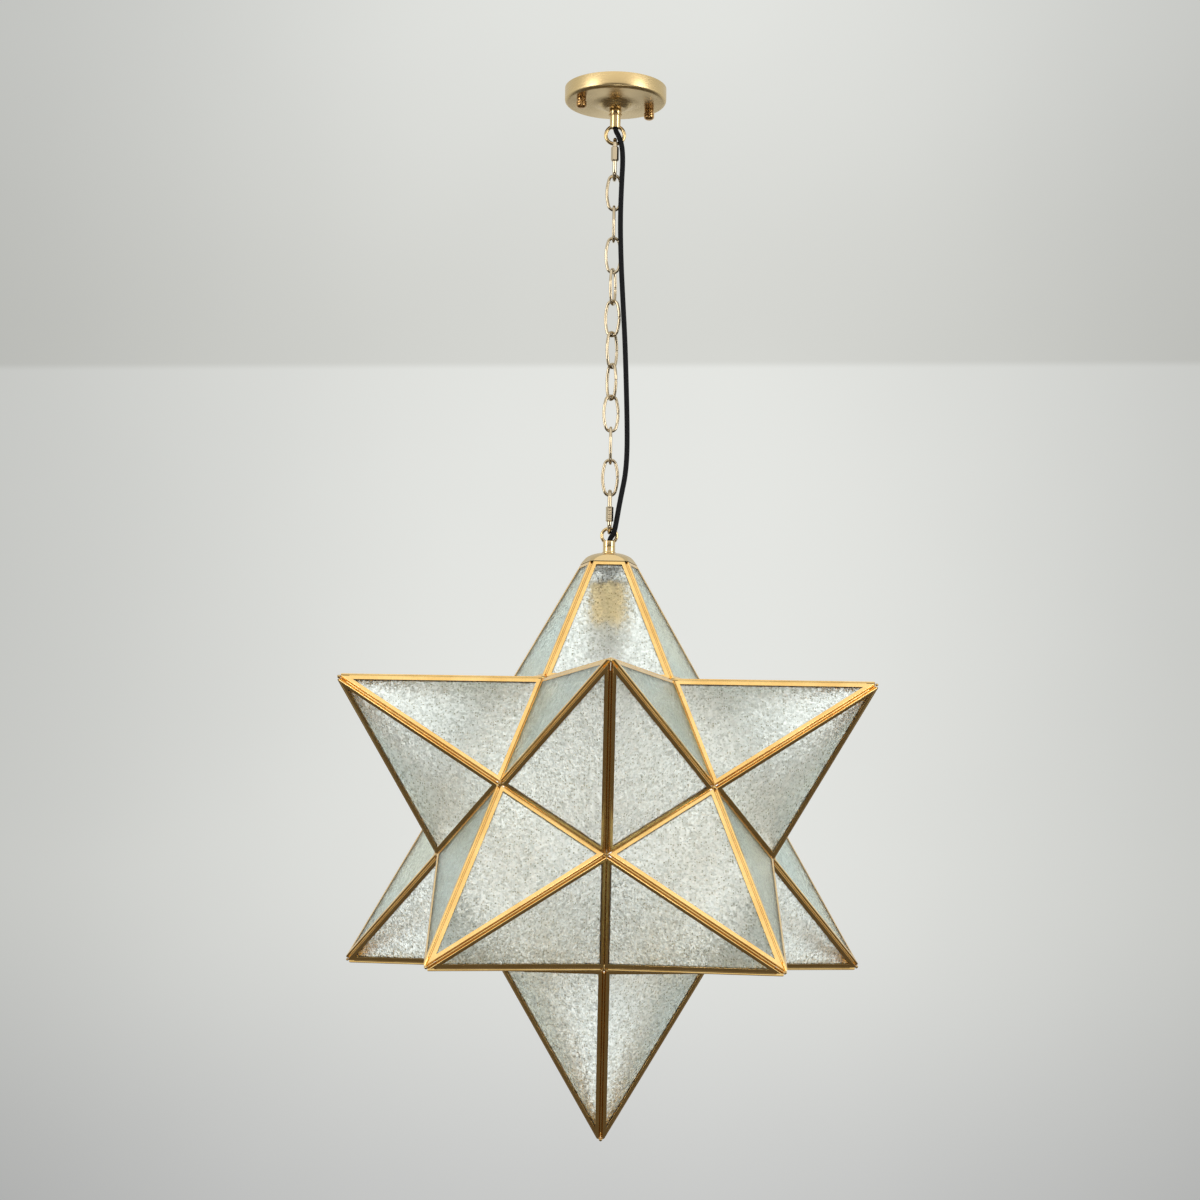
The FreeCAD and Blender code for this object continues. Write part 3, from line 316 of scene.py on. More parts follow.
def make_floor(height=-3.3, radius=5.5):
    """A pale floor far below the lamp; it is not part of it."""
    shape = bmesh.new()
    bmesh.ops.create_circle(shape, cap_ends=True, radius=radius, segments=96)
    mesh = bpy.data.meshes.new("floor")
    shape.to_mesh(mesh)
    shape.free()
    mesh.transform(Matrix.Translation((0, 0, height)))
    floor = bpy.data.objects.new("floor", mesh)
    bpy.context.scene.collection.objects.link(floor)
    material, tree = new_finish("floor_paint")
    place = put(tree, "ShaderNodeTexCoord").outputs["Object"]
    ray = put(tree, "ShaderNodeLightPath").outputs
    colour = mixed(tree, noise(tree, place, 1.5, 4.0), *FLOOR_TONES)
    # painted reflection: brass mirrors the pale floor dark
    colour = mixed(tree, ray["Is Glossy Ray"], colour, FLOOR_IN_BRASS)
    # painted glow: the floor shines when seen through the glass
    through = maths(tree, "MULTIPLY", ray["Is Transmission Ray"], FLOOR_THROUGH_GLASS)
    done(tree, {"Base Color": colour, "Roughness": 0.8,
                "Emission Color": colour, "Emission Strength": through})
    mesh.materials.append(material)


def make_light(name, place, size, power):
    """A large soft light that looks at the lamp."""
    lamp = bpy.data.lights.new(name, "AREA")
    lamp.shape = "RECTANGLE"
    lamp.size, lamp.size_y = size
    lamp.energy = power
    light = bpy.data.objects.new(name, lamp)
    turn = (Vector(place) - LIGHTS_AIM).to_track_quat("Z", "Y").to_matrix().to_4x4()
    light.matrix_world = Matrix.Translation(place) @ turn
    bpy.context.scene.collection.objects.link(light)
    light.visible_camera = False


make_floor()
for light_name, (light_place, light_size, light_power) in SOFT_LIGHTS.items():
    make_light(light_name, light_place, light_size, light_power)
print("floor and soft lights", sorted(SOFT_LIGHTS))

# %% [markdown]
# ## Brass
# The lamp is brass throughout, but not in one tone: the canopy is brushed and lacquered, the hubs
# are polished, the chain is paler, the finger nuts are redder, the leading is a bright yellow, and
# where it was soldered it is dark. One recipe makes them all from two tones and a range of gloss.
# Fine lines and slow clouds vary the gloss, because a perfectly even metal looks like plastic.

# %% Brass finishes
LINES_SHARE = 0.25
LINES_SHADE = 0.7


def brass(name, bright, dull, gloss, grain=(900.0, 900.0, 60.0), brushed=0.0, pits=0.05, cloud=14.0):
    """bright and dull are two tones of the metal, gloss the lowest and highest roughness."""
    material, tree = new_finish(name)
    place = put(tree, "ShaderNodeTexCoord").outputs["Object"]
    clouds = noise(tree, place, cloud, 5.0)
    drawn_out = put(tree, "ShaderNodeMapping", {"Vector": place, "Scale": grain}).outputs[0]
    lines = noise(tree, drawn_out, 1.0, 4.0)
    line = between(tree, lines, 0.35, 0.75, 0.0, LINES_SHARE)
    colour = mixed(tree, between(tree, clouds, *MOST_OF_NOISE), (*bright, 1), (*dull, 1))
    colour = mixed(tree, line, colour, (*(LINES_SHADE * c for c in dull), 1))
    wear = maths(tree, "ADD", maths(tree, "MULTIPLY", clouds, 0.6), maths(tree, "MULTIPLY", lines, 0.4))
    metal = {
        "Base Color": colour, "Metallic": 1.0, "Roughness": between(tree, wear, *MIDDLE_OF_NOISE, *gloss),
        "Anisotropic": brushed, "Normal": bumped(tree, lines, pits, 0.0002),
    }
    if brushed:
        around = vector_maths(tree, "CROSS_PRODUCT", (0, 0, 1), place)
        metal["Tangent"] = vector_maths(tree, "NORMALIZE", around)
    done(tree, metal)
    return material


FINISHES = {
    "satin_brass": brass("satin_brass", (0.70, 0.54, 0.29), (0.64, 0.48, 0.24), (0.25, 0.29),
                         grain=(40.0, 40.0, 2400.0), brushed=0.75, cloud=6.0),
    "polished_brass": brass("polished_brass", (0.76, 0.57, 0.30), (0.60, 0.43, 0.20), (0.08, 0.18)),
    "chain_brass": brass("chain_brass", (0.64, 0.54, 0.38), (0.46, 0.37, 0.24), (0.06, 0.14)),
    "nut_brass": brass("nut_brass", (0.58, 0.35, 0.14), (0.42, 0.24, 0.09), (0.12, 0.24)),
    "came_brass": brass("came_brass", (0.93, 0.65, 0.27), (0.82, 0.53, 0.19), (0.10, 0.22), cloud=30.0),
    "aged_solder": brass("aged_solder", (0.66, 0.47, 0.20), (0.34, 0.22, 0.09), (0.18, 0.40),
                         cloud=240.0, pits=0.3),
    "shell_brass": brass("shell_brass", (0.72, 0.52, 0.24), (0.62, 0.44, 0.19), (0.18, 0.32)),
}
# the frame has one slot for all polished brass, and the chain and the nuts are two tones of it
print("brass finishes", sorted(FINISHES))

# %% [markdown]
# ## Glass
# The panes were rolled against a pitted roller. Each pit is a small lens about two millimetres
# wide, so the pane sparkles and nothing behind it can be made out. Pits could be modelled, but
# sixty panes hold tens of thousands, so they are in the shader. One pattern of cells leans the
# surface another way in each cell and darkens some of them, a painted shade for the dark side of
# the sparkle, a second one sets a few dark dots, and a fine bump lies over both. Where a pane is
# seen edge-on it turns teal or straw, as coated glass does.

# %% Glass finish
PITS, CELLS, DOTS = 520.0, 580.0, 480.0
CELL_LEAN = 0.40
PIT_STRENGTH, PIT_DEPTH, DOT_DEPTH = 0.2, 0.0008, 0.4
CLEAR, SHADED, DARK_DOT = (1.0, 1.0, 0.99, 1), (0.64, 0.65, 0.63, 1), (0.26, 0.24, 0.17, 1)
SHADED_CELLS, DOTTED_CELLS, DOT_EDGE = (0.25, 0.50), (0.22, 0.26), (0.30, 0.44)
TEAL, STRAW, TINT_DRIFT = (0.78, 0.95, 0.87, 1), (0.92, 0.97, 0.76, 1), 9.0
STEEP_FADE, SHADE_AND_DOTS_FADE, SHADE_AND_DOTS_LEFT = (0.35, 0.85), (0.45, 0.80), 0.2
GLASS_ROUGHNESS, GLASS_IOR = 0.40, 1.36


def cell_pattern(tree, place, scale):
    return put(tree, "ShaderNodeTexVoronoi", {"Vector": place, "Scale": scale}, feature="F1").outputs


def first_of(tree, colour):
    """A colour's red, which is one random value for each cell of a pattern."""
    return put(tree, "ShaderNodeSeparateColor", {0: colour}).outputs[0]


def pitted_surface(tree, place, cells, dots):
    """The surface's own direction, leaned in each cell and roughened by a fine bump."""
    lean = vector_maths(tree, "MULTIPLY_ADD", cells["Color"], (CELL_LEAN,) * 3, (-CELL_LEAN / 2,) * 3)
    facing = put(tree, "ShaderNodeNewGeometry").outputs["Normal"]
    facet = vector_maths(tree, "NORMALIZE", vector_maths(tree, "ADD", facing, lean))
    domes = maths(tree, "MULTIPLY", dots["Distance"], DOT_DEPTH)
    height = maths(tree, "ADD", noise(tree, place, PITS, 2.0), domes)
    return put(tree, "ShaderNodeBump", {
        "Height": height, "Strength": PIT_STRENGTH, "Distance": PIT_DEPTH, "Normal": facet,
    }).outputs[0]


def pane_tint(tree, place, cells, dots):
    """Clear with painted shade in some cells and dark dots, which give way to teal and straw where it is
    steep.
    """
    edge_on = put(tree, "ShaderNodeLayerWeight", {"Blend": 0.5}).outputs["Facing"]
    shade_and_dots_share = between(tree, edge_on, *SHADE_AND_DOTS_FADE, 1.0, SHADE_AND_DOTS_LEFT)
    drift = between(tree, noise(tree, place, TINT_DRIFT, 2.0), *MIDDLE_OF_NOISE)
    steep_tint = mixed(tree, drift, TEAL, STRAW)
    # painted shade: a share of the cells darkened, the dark side of the pits' sparkle
    shaded = maths(tree, "MULTIPLY", fading(tree, first_of(tree, cells["Color"]), *SHADED_CELLS), shade_and_dots_share)
    tint = mixed(tree, between(tree, edge_on, *STEEP_FADE), mixed(tree, shaded, CLEAR, SHADED), steep_tint)
    dotted = fading(tree, first_of(tree, dots["Color"]), *DOTTED_CELLS)
    dot = maths(tree, "MULTIPLY", fading(tree, dots["Distance"], *DOT_EDGE), dotted)
    return mixed(tree, maths(tree, "MULTIPLY", dot, shade_and_dots_share), tint, DARK_DOT)


def glass():
    material, tree = new_finish("seeded_glass")
    place = put(tree, "ShaderNodeTexCoord").outputs["Object"]
    cells, dots = (cell_pattern(tree, place, scale) for scale in (CELLS, DOTS))
    done(tree, {
        "Base Color": pane_tint(tree, place, cells, dots), "Roughness": GLASS_ROUGHNESS, "IOR": GLASS_IOR,
        "Transmission Weight": 1.0, "Normal": pitted_surface(tree, place, cells, dots),
    })
    return material


FINISHES["seeded_glass"] = glass()
print("glass with", CELLS, "cells to the metre")

# %% [markdown]
# ## The quiet materials
# The cord has a tight black textile sheath, two sets of strands wound against each other. Zinc-
# plated steel, porcelain, plastic and the cores' insulation are hardly seen, but a lamp is taken
# apart one day, so each has its own finish. In the end every solid of the frame gets the finish
# that its own slot names.

# %% Other finishes
def plain(name, first, second, gloss, metallic=0.0, coat=0.0):
    """Two close tones in clouds one or two centimetres wide, with a fine grain."""
    material, tree = new_finish(name)
    place = put(tree, "ShaderNodeTexCoord").outputs["Object"]
    clouds = noise(tree, place, 60.0, 4.0)
    grain = noise(tree, place, 720.0, 3.0)
    done(tree, {
        "Base Color": mixed(tree, between(tree, clouds, *MOST_OF_NOISE), (*first, 1), (*second, 1)),
        "Roughness": between(tree, clouds, *MOST_OF_NOISE, *gloss), "Metallic": metallic,
        "Coat Weight": coat, "Normal": bumped(tree, grain, 0.1, 0.0002),
    })
    return material


def woven(name, low, high, strands=14, pitch=0.35):
    """A tight textile sheath: two sets of strands wound against each other, by the cord's UV map."""
    material, tree = new_finish(name)
    sheath = put(tree, "ShaderNodeUVMap", uv_map="sheath").outputs[0]
    along, round_it, _ = put(tree, "ShaderNodeSeparateXYZ", {0: sheath}).outputs
    turn = maths(tree, "MULTIPLY", round_it, 2 * math.pi * strands)
    climb = maths(tree, "MULTIPLY", along, 2 * math.pi / pitch)
    one, other = (maths(tree, "SINE", maths(tree, way, turn, climb)) for way in ("ADD", "SUBTRACT"))
    weave = maths(tree, "ABSOLUTE", maths(tree, "MULTIPLY", one, other))
    done(tree, {
        "Base Color": mixed(tree, weave, (*low, 1), (*high, 1)), "Roughness": 0.66,
        "Specular IOR Level": 0.16, "Normal": bumped(tree, weave, 0.6, 0.00025),
    })
    return material


FINISHES |= {
    "zinc_steel": plain("zinc_steel", (0.60, 0.60, 0.58), (0.50, 0.50, 0.49), (0.28, 0.42), metallic=1.0),
    "porcelain": plain("porcelain", (0.82, 0.81, 0.76), (0.78, 0.76, 0.70), (0.22, 0.32), coat=0.6),
    "terminal_plastic": plain("terminal_plastic", (0.80, 0.80, 0.76), (0.74, 0.74, 0.70), (0.45, 0.55)),
    "cord_black": woven("cord_black", (0.0035, 0.0035, 0.004), (0.008, 0.008, 0.009)),
    "core_insulation": plain("core_insulation", (0.26, 0.12, 0.05), (0.20, 0.09, 0.04), (0.35, 0.50)),
}
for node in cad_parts.values():
    own_slot = node.data.materials[0].name.split(".")[0]
    node.data.materials.clear()
    node.data.materials.append(FINISHES[own_slot])
print("finishes", len(FINISHES))

# %% [markdown]
# ## What a finished piece is
# Every finer piece below ends the same way, however it was made. It is a plain mesh that already
# lies where it belongs, it rides on one body of the frame, all but the cord's pieces, and it takes
# the place of the plain solid. Its faces are shaded smooth. Edges that turn by more than a set angle
# stay sharp, which needs no modifier that somebody has to apply later.

# %% A finished piece
def finished(name, mesh, finish, body, *nodes, sharp=38):
    """A mesh becomes a piece of the lamp: smooth, finished, carried by a body, in place of nodes."""
    mesh.materials.clear()
    mesh.materials.append(FINISHES[finish])
    for polygon in mesh.polygons:
        polygon.material_index = 0
    mesh.shade_smooth()
    mesh.set_sharp_from_angle(angle=math.radians(sharp))
    piece = bpy.data.objects.new(name, mesh)
    bpy.context.scene.collection.objects.link(piece)
    if body:
        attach(piece, body)
    if nodes:
        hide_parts(*nodes)
    return piece


def moved(mesh, matrix):
    """A copy of a mesh, carried to its place."""
    copy = mesh.copy()
    copy.transform(matrix)
    return copy


print("plain solids that can be replaced", len(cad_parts))

# %% [markdown]
# ## Meshes that grow from a path
# Wire, threads, the channels round the panes and the solder repeat one pattern along a path or at
# points. Copies placed by hand could do it, but a Geometry Nodes tree keeps the numbers that matter
# as its inputs, so it is written once and used many times. These helpers start a tree, end it, and
# turn what it grows into a plain mesh.

# %% Geometry Nodes helpers
def new_tree(name, **inputs):
    """An empty Geometry Nodes tree with named inputs, and the sockets that give their values."""
    tree = bpy.data.node_groups.new(name, "GeometryNodeTree")
    tree.interface.new_socket("Shape", in_out="INPUT", socket_type="NodeSocketGeometry")
    for label, (kind, value) in inputs.items():
        socket = tree.interface.new_socket(label, in_out="INPUT", socket_type="NodeSocket" + kind)
        if value is not None:
            socket.default_value = value
    tree.interface.new_socket("Shape", in_out="OUTPUT", socket_type="NodeSocketGeometry")
    return tree, put(tree, "NodeGroupInput").outputs


def finish_tree(tree, shape, finish):
    solid = put(tree, "GeometryNodeRealizeInstances", {0: shape}).outputs[0]
    coated = put(tree, "GeometryNodeSetMaterial", {"Geometry": solid, "Material": finish}).outputs[0]
    put(tree, "NodeGroupOutput", {0: coated})


def grown(name, start, tree, **values):
    """The plain mesh that a tree grows from a start mesh."""
    seed = bpy.data.objects.new(name + "_start", start)
    bpy.context.scene.collection.objects.link(seed)
    modifier = seed.modifiers.new(name, "NODES")
    modifier.node_group = tree
    for item in tree.interface.items_tree:
        if item.in_out == "INPUT" and item.name in values:
            modifier[item.identifier] = values[item.name]
    mesh = bpy.data.meshes.new_from_object(seed.evaluated_get(bpy.context.evaluated_depsgraph_get()))
    mesh.name = name
    bpy.data.objects.remove(seed)
    return mesh


def edge_lines(name, lines, closed=False):
    """Edges only: one chain of edges along each line of points."""
    points, edges = [], []
    for line in lines:
        first = len(points)
        points += line
        edges += [(first + i, first + i + 1) for i in range(len(line) - 1)]
        if closed:
            edges.append((first + len(line) - 1, first))
    mesh = bpy.data.meshes.new(name)
    mesh.from_pydata(points, edges, [])
    return mesh

# %% [markdown]
# ## Bent wire
# Chain links, quick links and eyes are all round wire bent to a path. A Geometry Nodes tree sweeps
# a circle along whatever path comes in, so one tree makes every one of them. Each chain link is
# closed by pushing its two ends together, and the butt shows as a fine groove in one side.

# %% The wire tree
def circle(tree, sides, radius):
    return put(tree, "GeometryNodeCurvePrimitiveCircle", {"Resolution": sides, "Radius": radius}).outputs[0]


def swept(tree, path, swelling, thickness, sides):
    """A round section carried along a path, thinner or thicker by the swelling."""
    path = put(tree, "GeometryNodeSetCurveRadius", {"Curve": path, "Radius": swelling}).outputs[0]
    section = circle(tree, sides, maths(tree, "MULTIPLY", thickness, 0.5))
    return put(tree, "GeometryNodeCurveToMesh", {
        "Curve": path, "Profile Curve": section, "Fill Caps": True,
        "Scale": put(tree, "GeometryNodeInputRadius").outputs[0],
    }).outputs[0]


def wire_tree():
    tree, ends = new_tree(
        "bent_wire", Thickness=("Float", 0.003), Sides=("Int", 24), Groove=("Float", 0.0),
        GrooveWidth=("Float", 0.0002), Finish=("Material", None),
    )
    path = put(tree, "GeometryNodeMeshToCurve", {0: ends["Shape"]}).outputs[0]
    spot = put(tree, "ShaderNodeSeparateXYZ", {0: put(tree, "GeometryNodeInputPosition").outputs[0]}).outputs
    far = maths(tree, "DIVIDE", maths(tree, "ABSOLUTE", spot["Z"]), ends["GrooveWidth"])
    near = maths(tree, "SUBTRACT", 1.0, maths(tree, "MINIMUM", far, 1.0))
    one_side = maths(tree, "GREATER_THAN", spot["X"], 0.0)
    dip = maths(tree, "MULTIPLY", maths(tree, "MULTIPLY", near, one_side), ends["Groove"])
    finish_tree(tree, swept(tree, path, maths(tree, "SUBTRACT", 1.0, dip), ends["Thickness"], ends["Sides"]),
                ends["Finish"])
    return tree


def arc(centre, radius, first, last, steps):
    """Points on a circle in the XZ plane, between two angles in degrees from +X."""
    angles = [math.radians(first + (last - first) * i / steps) for i in range(steps + 1)]
    return [Vector((centre[0] + radius * math.cos(a), 0, centre[1] + radius * math.sin(a))) for a in angles]


def oval_path(length, width, end_radius):
    """The middle of a link's wire: two tight ends joined by two long arcs, tangent to them."""
    half_length, half_width = length / 2, width / 2
    side = half_length ** 2 + half_width ** 2 - 2 * half_length * end_radius
    side = side / (2 * (half_width - end_radius))
    lean = math.degrees(math.asin((half_length - end_radius) / (side - end_radius)))
    high, low = (0, half_length - end_radius), (0, end_radius - half_length)
    right, left = (half_width - side, 0), (side - half_width, 0)
    line = arc(right, side, -lean, 0, 24) + arc(right, side, 0, lean, 24)[1:]
    line += arc(high, end_radius, lean, 180 - lean, 28)[1:]
    line += arc(left, side, 180 - lean, 180 + lean, 48)[1:]
    line += arc(low, end_radius, 180 + lean, 360 - lean, 28)[1:-1]
    return line


WIRE = wire_tree()
print("wire tree with", len(WIRE.nodes), "nodes")

# %% [markdown]
# ## The chain
# Ten oval links of brass wire, 3 mm thick. Each hangs in the one above and has been twisted a
# little about the vertical, just as they hang in the photograph. The size of a link is read from
# the frame, from the first link, which faces the camera squarely.

# %% Chain links
LINK_WIRE = 0.003
LINK_END_RADIUS = 0.0054
LINK_TURNS = (0, 90, 0, 70, -22, 48, -54, 14, 89, 0)
BUTT_DEPTH, BUTT_WIDTH = 0.28, 0.0011


def make_links():
    low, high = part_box("chain_link_01")
    length, width = high.z - low.z - LINK_WIRE, high.x - low.x - LINK_WIRE
    path = edge_lines("link_path", [oval_path(length, width, LINK_END_RADIUS)], closed=True)
    link = grown("link", path, WIRE, Thickness=LINK_WIRE, Sides=28, Groove=BUTT_DEPTH, GrooveWidth=BUTT_WIDTH,
                 Finish=FINISHES["chain_brass"])
    for number, turn in enumerate(LINK_TURNS, start=1):
        node = "chain_link_%02d" % number
        below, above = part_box(node)
        twist = Matrix.Rotation(math.radians(turn), 4, "Z")
        place = Matrix.Translation((0, 0, (below.z + above.z) / 2)) @ twist
        finished("bent_%s" % node, moved(link, place), "chain_brass", node, node, sharp=60)
    print(len(LINK_TURNS), "links, their wire's middle line", round(length, 4), "by", round(width, 4))


make_links()

# %% [markdown]
# ## Quick links
# A quick link is a long oval of wire with a mouth in its front leg, which a sleeve screws shut. The
# lower one hangs upside down. Around the mouth the wire carries a thread. A true helix would need
# hundreds of faces for each turn and nobody could tell it apart at this size, so the thread is a
# row of fine rings, set on points by a tree.

# %% Quick links
QUICK_WIRE = 0.004
MOUTH = 0.0045
MOUTH_UNDER_SLEEVE = 0.0013
THREAD_PITCH, THREAD_RUNOUT = 0.0007, 0.0004
THREAD_CREST, THREAD_SINK = 0.00012, 0.0001
CRESTS_ABOVE, CRESTS_BELOW = 2, 9


def thread_tree():
    """A tree that sets fine rings at the points of a mesh, as the crests of a thread."""
    tree, ends = new_tree(
        "thread", Radius=("Float", 0.002), Crest=("Float", 0.00016), Finish=("Material", None),
    )
    points = put(tree, "GeometryNodeMeshToPoints", {0: ends["Shape"]}).outputs[0]
    round_path, section = circle(tree, 32, ends["Radius"]), circle(tree, 6, ends["Crest"])
    crest = put(tree, "GeometryNodeCurveToMesh", {"Curve": round_path, "Profile Curve": section}).outputs[0]
    row = put(tree, "GeometryNodeInstanceOnPoints", {"Points": points, "Instance": crest}).outputs[0]
    finish_tree(tree, row, ends["Finish"])
    return tree


THREAD = thread_tree()


def joined(name, meshes):
    """Several meshes as one, each with its own skin."""
    shape = bmesh.new()
    for mesh in meshes:
        shape.from_mesh(mesh)
    made = bpy.data.meshes.new(name)
    shape.to_mesh(made)
    shape.free()
    return made


def make_quick_link(node, sleeve_node, upside_down):
    low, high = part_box(node)
    offset = (high.y - low.y - QUICK_WIRE) / 2
    straight = (high.z - low.z) / 2 - QUICK_WIRE / 2 - offset
    middle = (low.z + high.z) / 2
    under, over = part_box(sleeve_node)
    side = -1 if upside_down else 1
    lid = (over.z if side > 0 else under.z) - middle
    mouth_top = side * lid - MOUTH_UNDER_SLEEVE
    legs = [Vector((offset, 0, mouth_top - MOUTH))]
    legs += arc((0, -straight), offset, 0, -180, 40)
    legs += arc((0, straight), offset, 180, 0, 40)
    legs.append(Vector((offset, 0, mouth_top)))
    stand = Matrix.Rotation(math.radians(-90), 4, "Z") @ Matrix.Diagonal((1, 1, side, 1))
    place = Matrix.Translation((0, 0, middle)) @ stand
    wire = grown(node + "_wire", edge_lines(node, [[stand @ p for p in legs]]), WIRE, Thickness=QUICK_WIRE,
                 Sides=32, Finish=FINISHES["chain_brass"])
    wire = moved(wire, Matrix.Translation((0, 0, middle)))
    rows = [mouth_top + THREAD_RUNOUT + THREAD_PITCH * i for i in range(CRESTS_ABOVE)]
    rows += [mouth_top - MOUTH - THREAD_RUNOUT - THREAD_PITCH * i for i in range(CRESTS_BELOW)]
    points = bpy.data.meshes.new(node + "_crests")
    points.from_pydata([place @ Vector((offset, 0, z)) for z in rows], [], [])
    crests = grown(node + "_thread", points, THREAD, Radius=QUICK_WIRE / 2 - THREAD_SINK, Crest=THREAD_CREST,
                   Finish=FINISHES["chain_brass"])
    finished("bent_" + node, joined(node, [wire, crests]), "chain_brass", node, node, sharp=60)


make_quick_link("quick_link_top", "quick_link_top_sleeve", False)
make_quick_link("quick_link_bottom", "quick_link_bottom_sleeve", True)
print("two quick links with mouths of", MOUTH)

# %% [markdown]
# ## Sleeves
# A sleeve is turned from six-sided bar: a cone at both ends takes the corners off, and the lower
# sleeve has nine shallow ribs for the fingers. A boolean of bar and cones would do, but the shape is
# one rule: at each height and in each direction the surface lies at the flat or at the cone,
# whichever is nearer the middle. So it is written as rings that follow the rule.

# %% Sleeves
SLEEVE_FLATS, SLEEVE_BORE = 0.0066, 0.00206
SLEEVE_CHAMFER, SLEEVE_PLAIN_END = 0.0009, 0.0014
SLEEVE_CORNER_EASE = 0.985
SLEEVE_SIDES, SLEEVE_LEVELS = 96, 60
RIBS, RIB_DEPTH = 9, 0.00032


def as_mesh(name, shape):
    """A closed shape as a mesh, with its faces turned outwards."""
    bmesh.ops.recalc_face_normals(shape, faces=shape.faces)
    mesh = bpy.data.meshes.new(name)
    shape.to_mesh(mesh)
    shape.free()
    return mesh


def skinned(name, shape, rings):
    """Rings of points joined each to the next and the last to the first; a ring may be one point."""
    sides = max(len(ring) for ring in rings)
    for one, other in zip(rings, rings[1:] + rings[:1]):
        for k in range(sides):
            corners = [one[k % len(one)], one[(k + 1) % len(one)]]
            corners += [other[(k + 1) % len(other)], other[k % len(other)]]
            corners = list(dict.fromkeys(corners))
            if len(corners) > 2:
                shape.faces.new(corners)
    return as_mesh(name, shape)


def rib_groove(height, length):
    """How deep the surface lies below the ribs' crests, at a height above the sleeve's end."""
    ribbed = length - 2 * SLEEVE_PLAIN_END
    if not 0 < height - SLEEVE_PLAIN_END < ribbed:
        return 0.0
    return RIB_DEPTH * (0.5 - 0.5 * math.cos(2 * math.pi * RIBS * (height - SLEEVE_PLAIN_END) / ribbed))


def make_sleeve(node, ribs):
    low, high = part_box(node)
    length, wide, deep = high.z - low.z, high.x - low.x, high.y - low.y
    foot = Vector(((low.x + high.x) / 2, (low.y + high.y) / 2, low.z))
    corner, first_corner = (wide / 2, 0) if wide > deep else (deep / 2, 90)
    ends = [SLEEVE_CHAMFER * i / 3 for i in range(4)] + [SLEEVE_PLAIN_END]
    step = (length - 2 * SLEEVE_PLAIN_END) / SLEEVE_LEVELS
    levels = ends + [SLEEVE_PLAIN_END + step * i for i in range(1, SLEEVE_LEVELS)]
    levels += [length - z for z in reversed(ends)]
    turns = [360 * k / SLEEVE_SIDES for k in range(SLEEVE_SIDES)]
    shape = bmesh.new()

    def ring(height, reaches):
        ways = [math.radians(turn) for turn in turns]
        return [
            shape.verts.new(foot + Vector((reach * math.cos(way), reach * math.sin(way), height)))
            for way, reach in zip(ways, reaches)
        ]

    rings = []
    for z in levels:
        cone = corner - SLEEVE_CHAMFER + min(z, length - z, SLEEVE_CHAMFER)
        groove = rib_groove(z, length) if ribs else 0.0
        flats = [SLEEVE_FLATS / 2 / math.cos(math.radians((turn - first_corner) % 60 - 30)) for turn in turns]
        rings.append(ring(z, [min(flat, cone, corner * SLEEVE_CORNER_EASE) - groove for flat in flats]))
    rings += [ring(z, [SLEEVE_BORE] * SLEEVE_SIDES) for z in (length, 0)]
    finished("turned_" + node, skinned(node, shape, rings), "chain_brass", node, node, sharp=25)


make_sleeve("quick_link_top_sleeve", ribs=False)
make_sleeve("quick_link_bottom_sleeve", ribs=True)
print("two sleeves", SLEEVE_FLATS, "across their flats")

# %% [markdown]
# ## The lathe
# The canopy was spun over a form, and the hubs and finger nuts were turned from bar. A Screw
# modifier would spin an outline too. Rings made directly are as short to write, and a point on the
# axis stays one point instead of a whole ring of them. The corners that can be seen are eased
# first, because a real edge always catches a thin line of light. Holes come last, by booleans.

# %% Lathe
MM = 0.001
ON_AXIS = 1e-6
EASE_LIMIT = 0.48


def rounded(corners, steps=5):
    """An outline with its corners eased: each corner is (radius, height, size of the rounding)."""
    line = []
    count = len(corners)
    for i, (x, z, ease) in enumerate(corners):
        here = Vector((x, z))
        if not ease:
            line.append(here)
            continue
        back = Vector(corners[i - 1][:2]) - here
        on = Vector(corners[(i + 1) % count][:2]) - here
        reach = min(ease, EASE_LIMIT * back.length, EASE_LIMIT * on.length)
        start, end = here + back.normalized() * reach, here + on.normalized() * reach
        for step in range(steps + 1):
            t = step / steps
            line.append(start * (1 - t) ** 2 + here * (2 * t * (1 - t)) + end * t ** 2)
    return line


def spun(name, outline, sides=96):
    """An outline of (radius, height) in millimetres, turned about the vertical into a closed skin."""
    shape = bmesh.new()
    rings = []
    for radius, height in outline:
        turns = [2 * math.pi * k / sides for k in range(sides)] if radius > ON_AXIS else [0]
        reach = radius * MM
        rings.append([
            shape.verts.new((reach * math.cos(a), reach * math.sin(a), height * MM)) for a in turns
        ])
    return skinned(name, shape, rings)


def combined(name, base, steps):
    """A mesh joined with others, or cut by them: steps are (way, mesh), way UNION or DIFFERENCE."""
    body = bpy.data.objects.new(name, base)
    bpy.context.scene.collection.objects.link(body)
    tools = []
    for way, mesh in steps:
        tool = bpy.data.objects.new(name + "_tool", mesh)
        bpy.context.scene.collection.objects.link(tool)
        modifier = body.modifiers.new("join", "BOOLEAN")
        modifier.operation = way
        modifier.solver = "EXACT"
        modifier.object = tool
        tools.append(tool)
    made = bpy.data.meshes.new_from_object(body.evaluated_get(bpy.context.evaluated_depsgraph_get()))
    for thing in (body, *tools):
        bpy.data.objects.remove(thing)
    made.name = name
    return made

# %% [markdown]
# ## Canopy and finger nuts
# The canopy is one brass sheet with a small bell at its middle, held to the ceiling by two finger
# nuts. Both are spun here from outlines that repeat the solid parts' sizes, with heights counted
# from those parts' own boxes. The canopy is brushed round and round, so it needs a close ring of
# faces, or its long highlight would show corners.

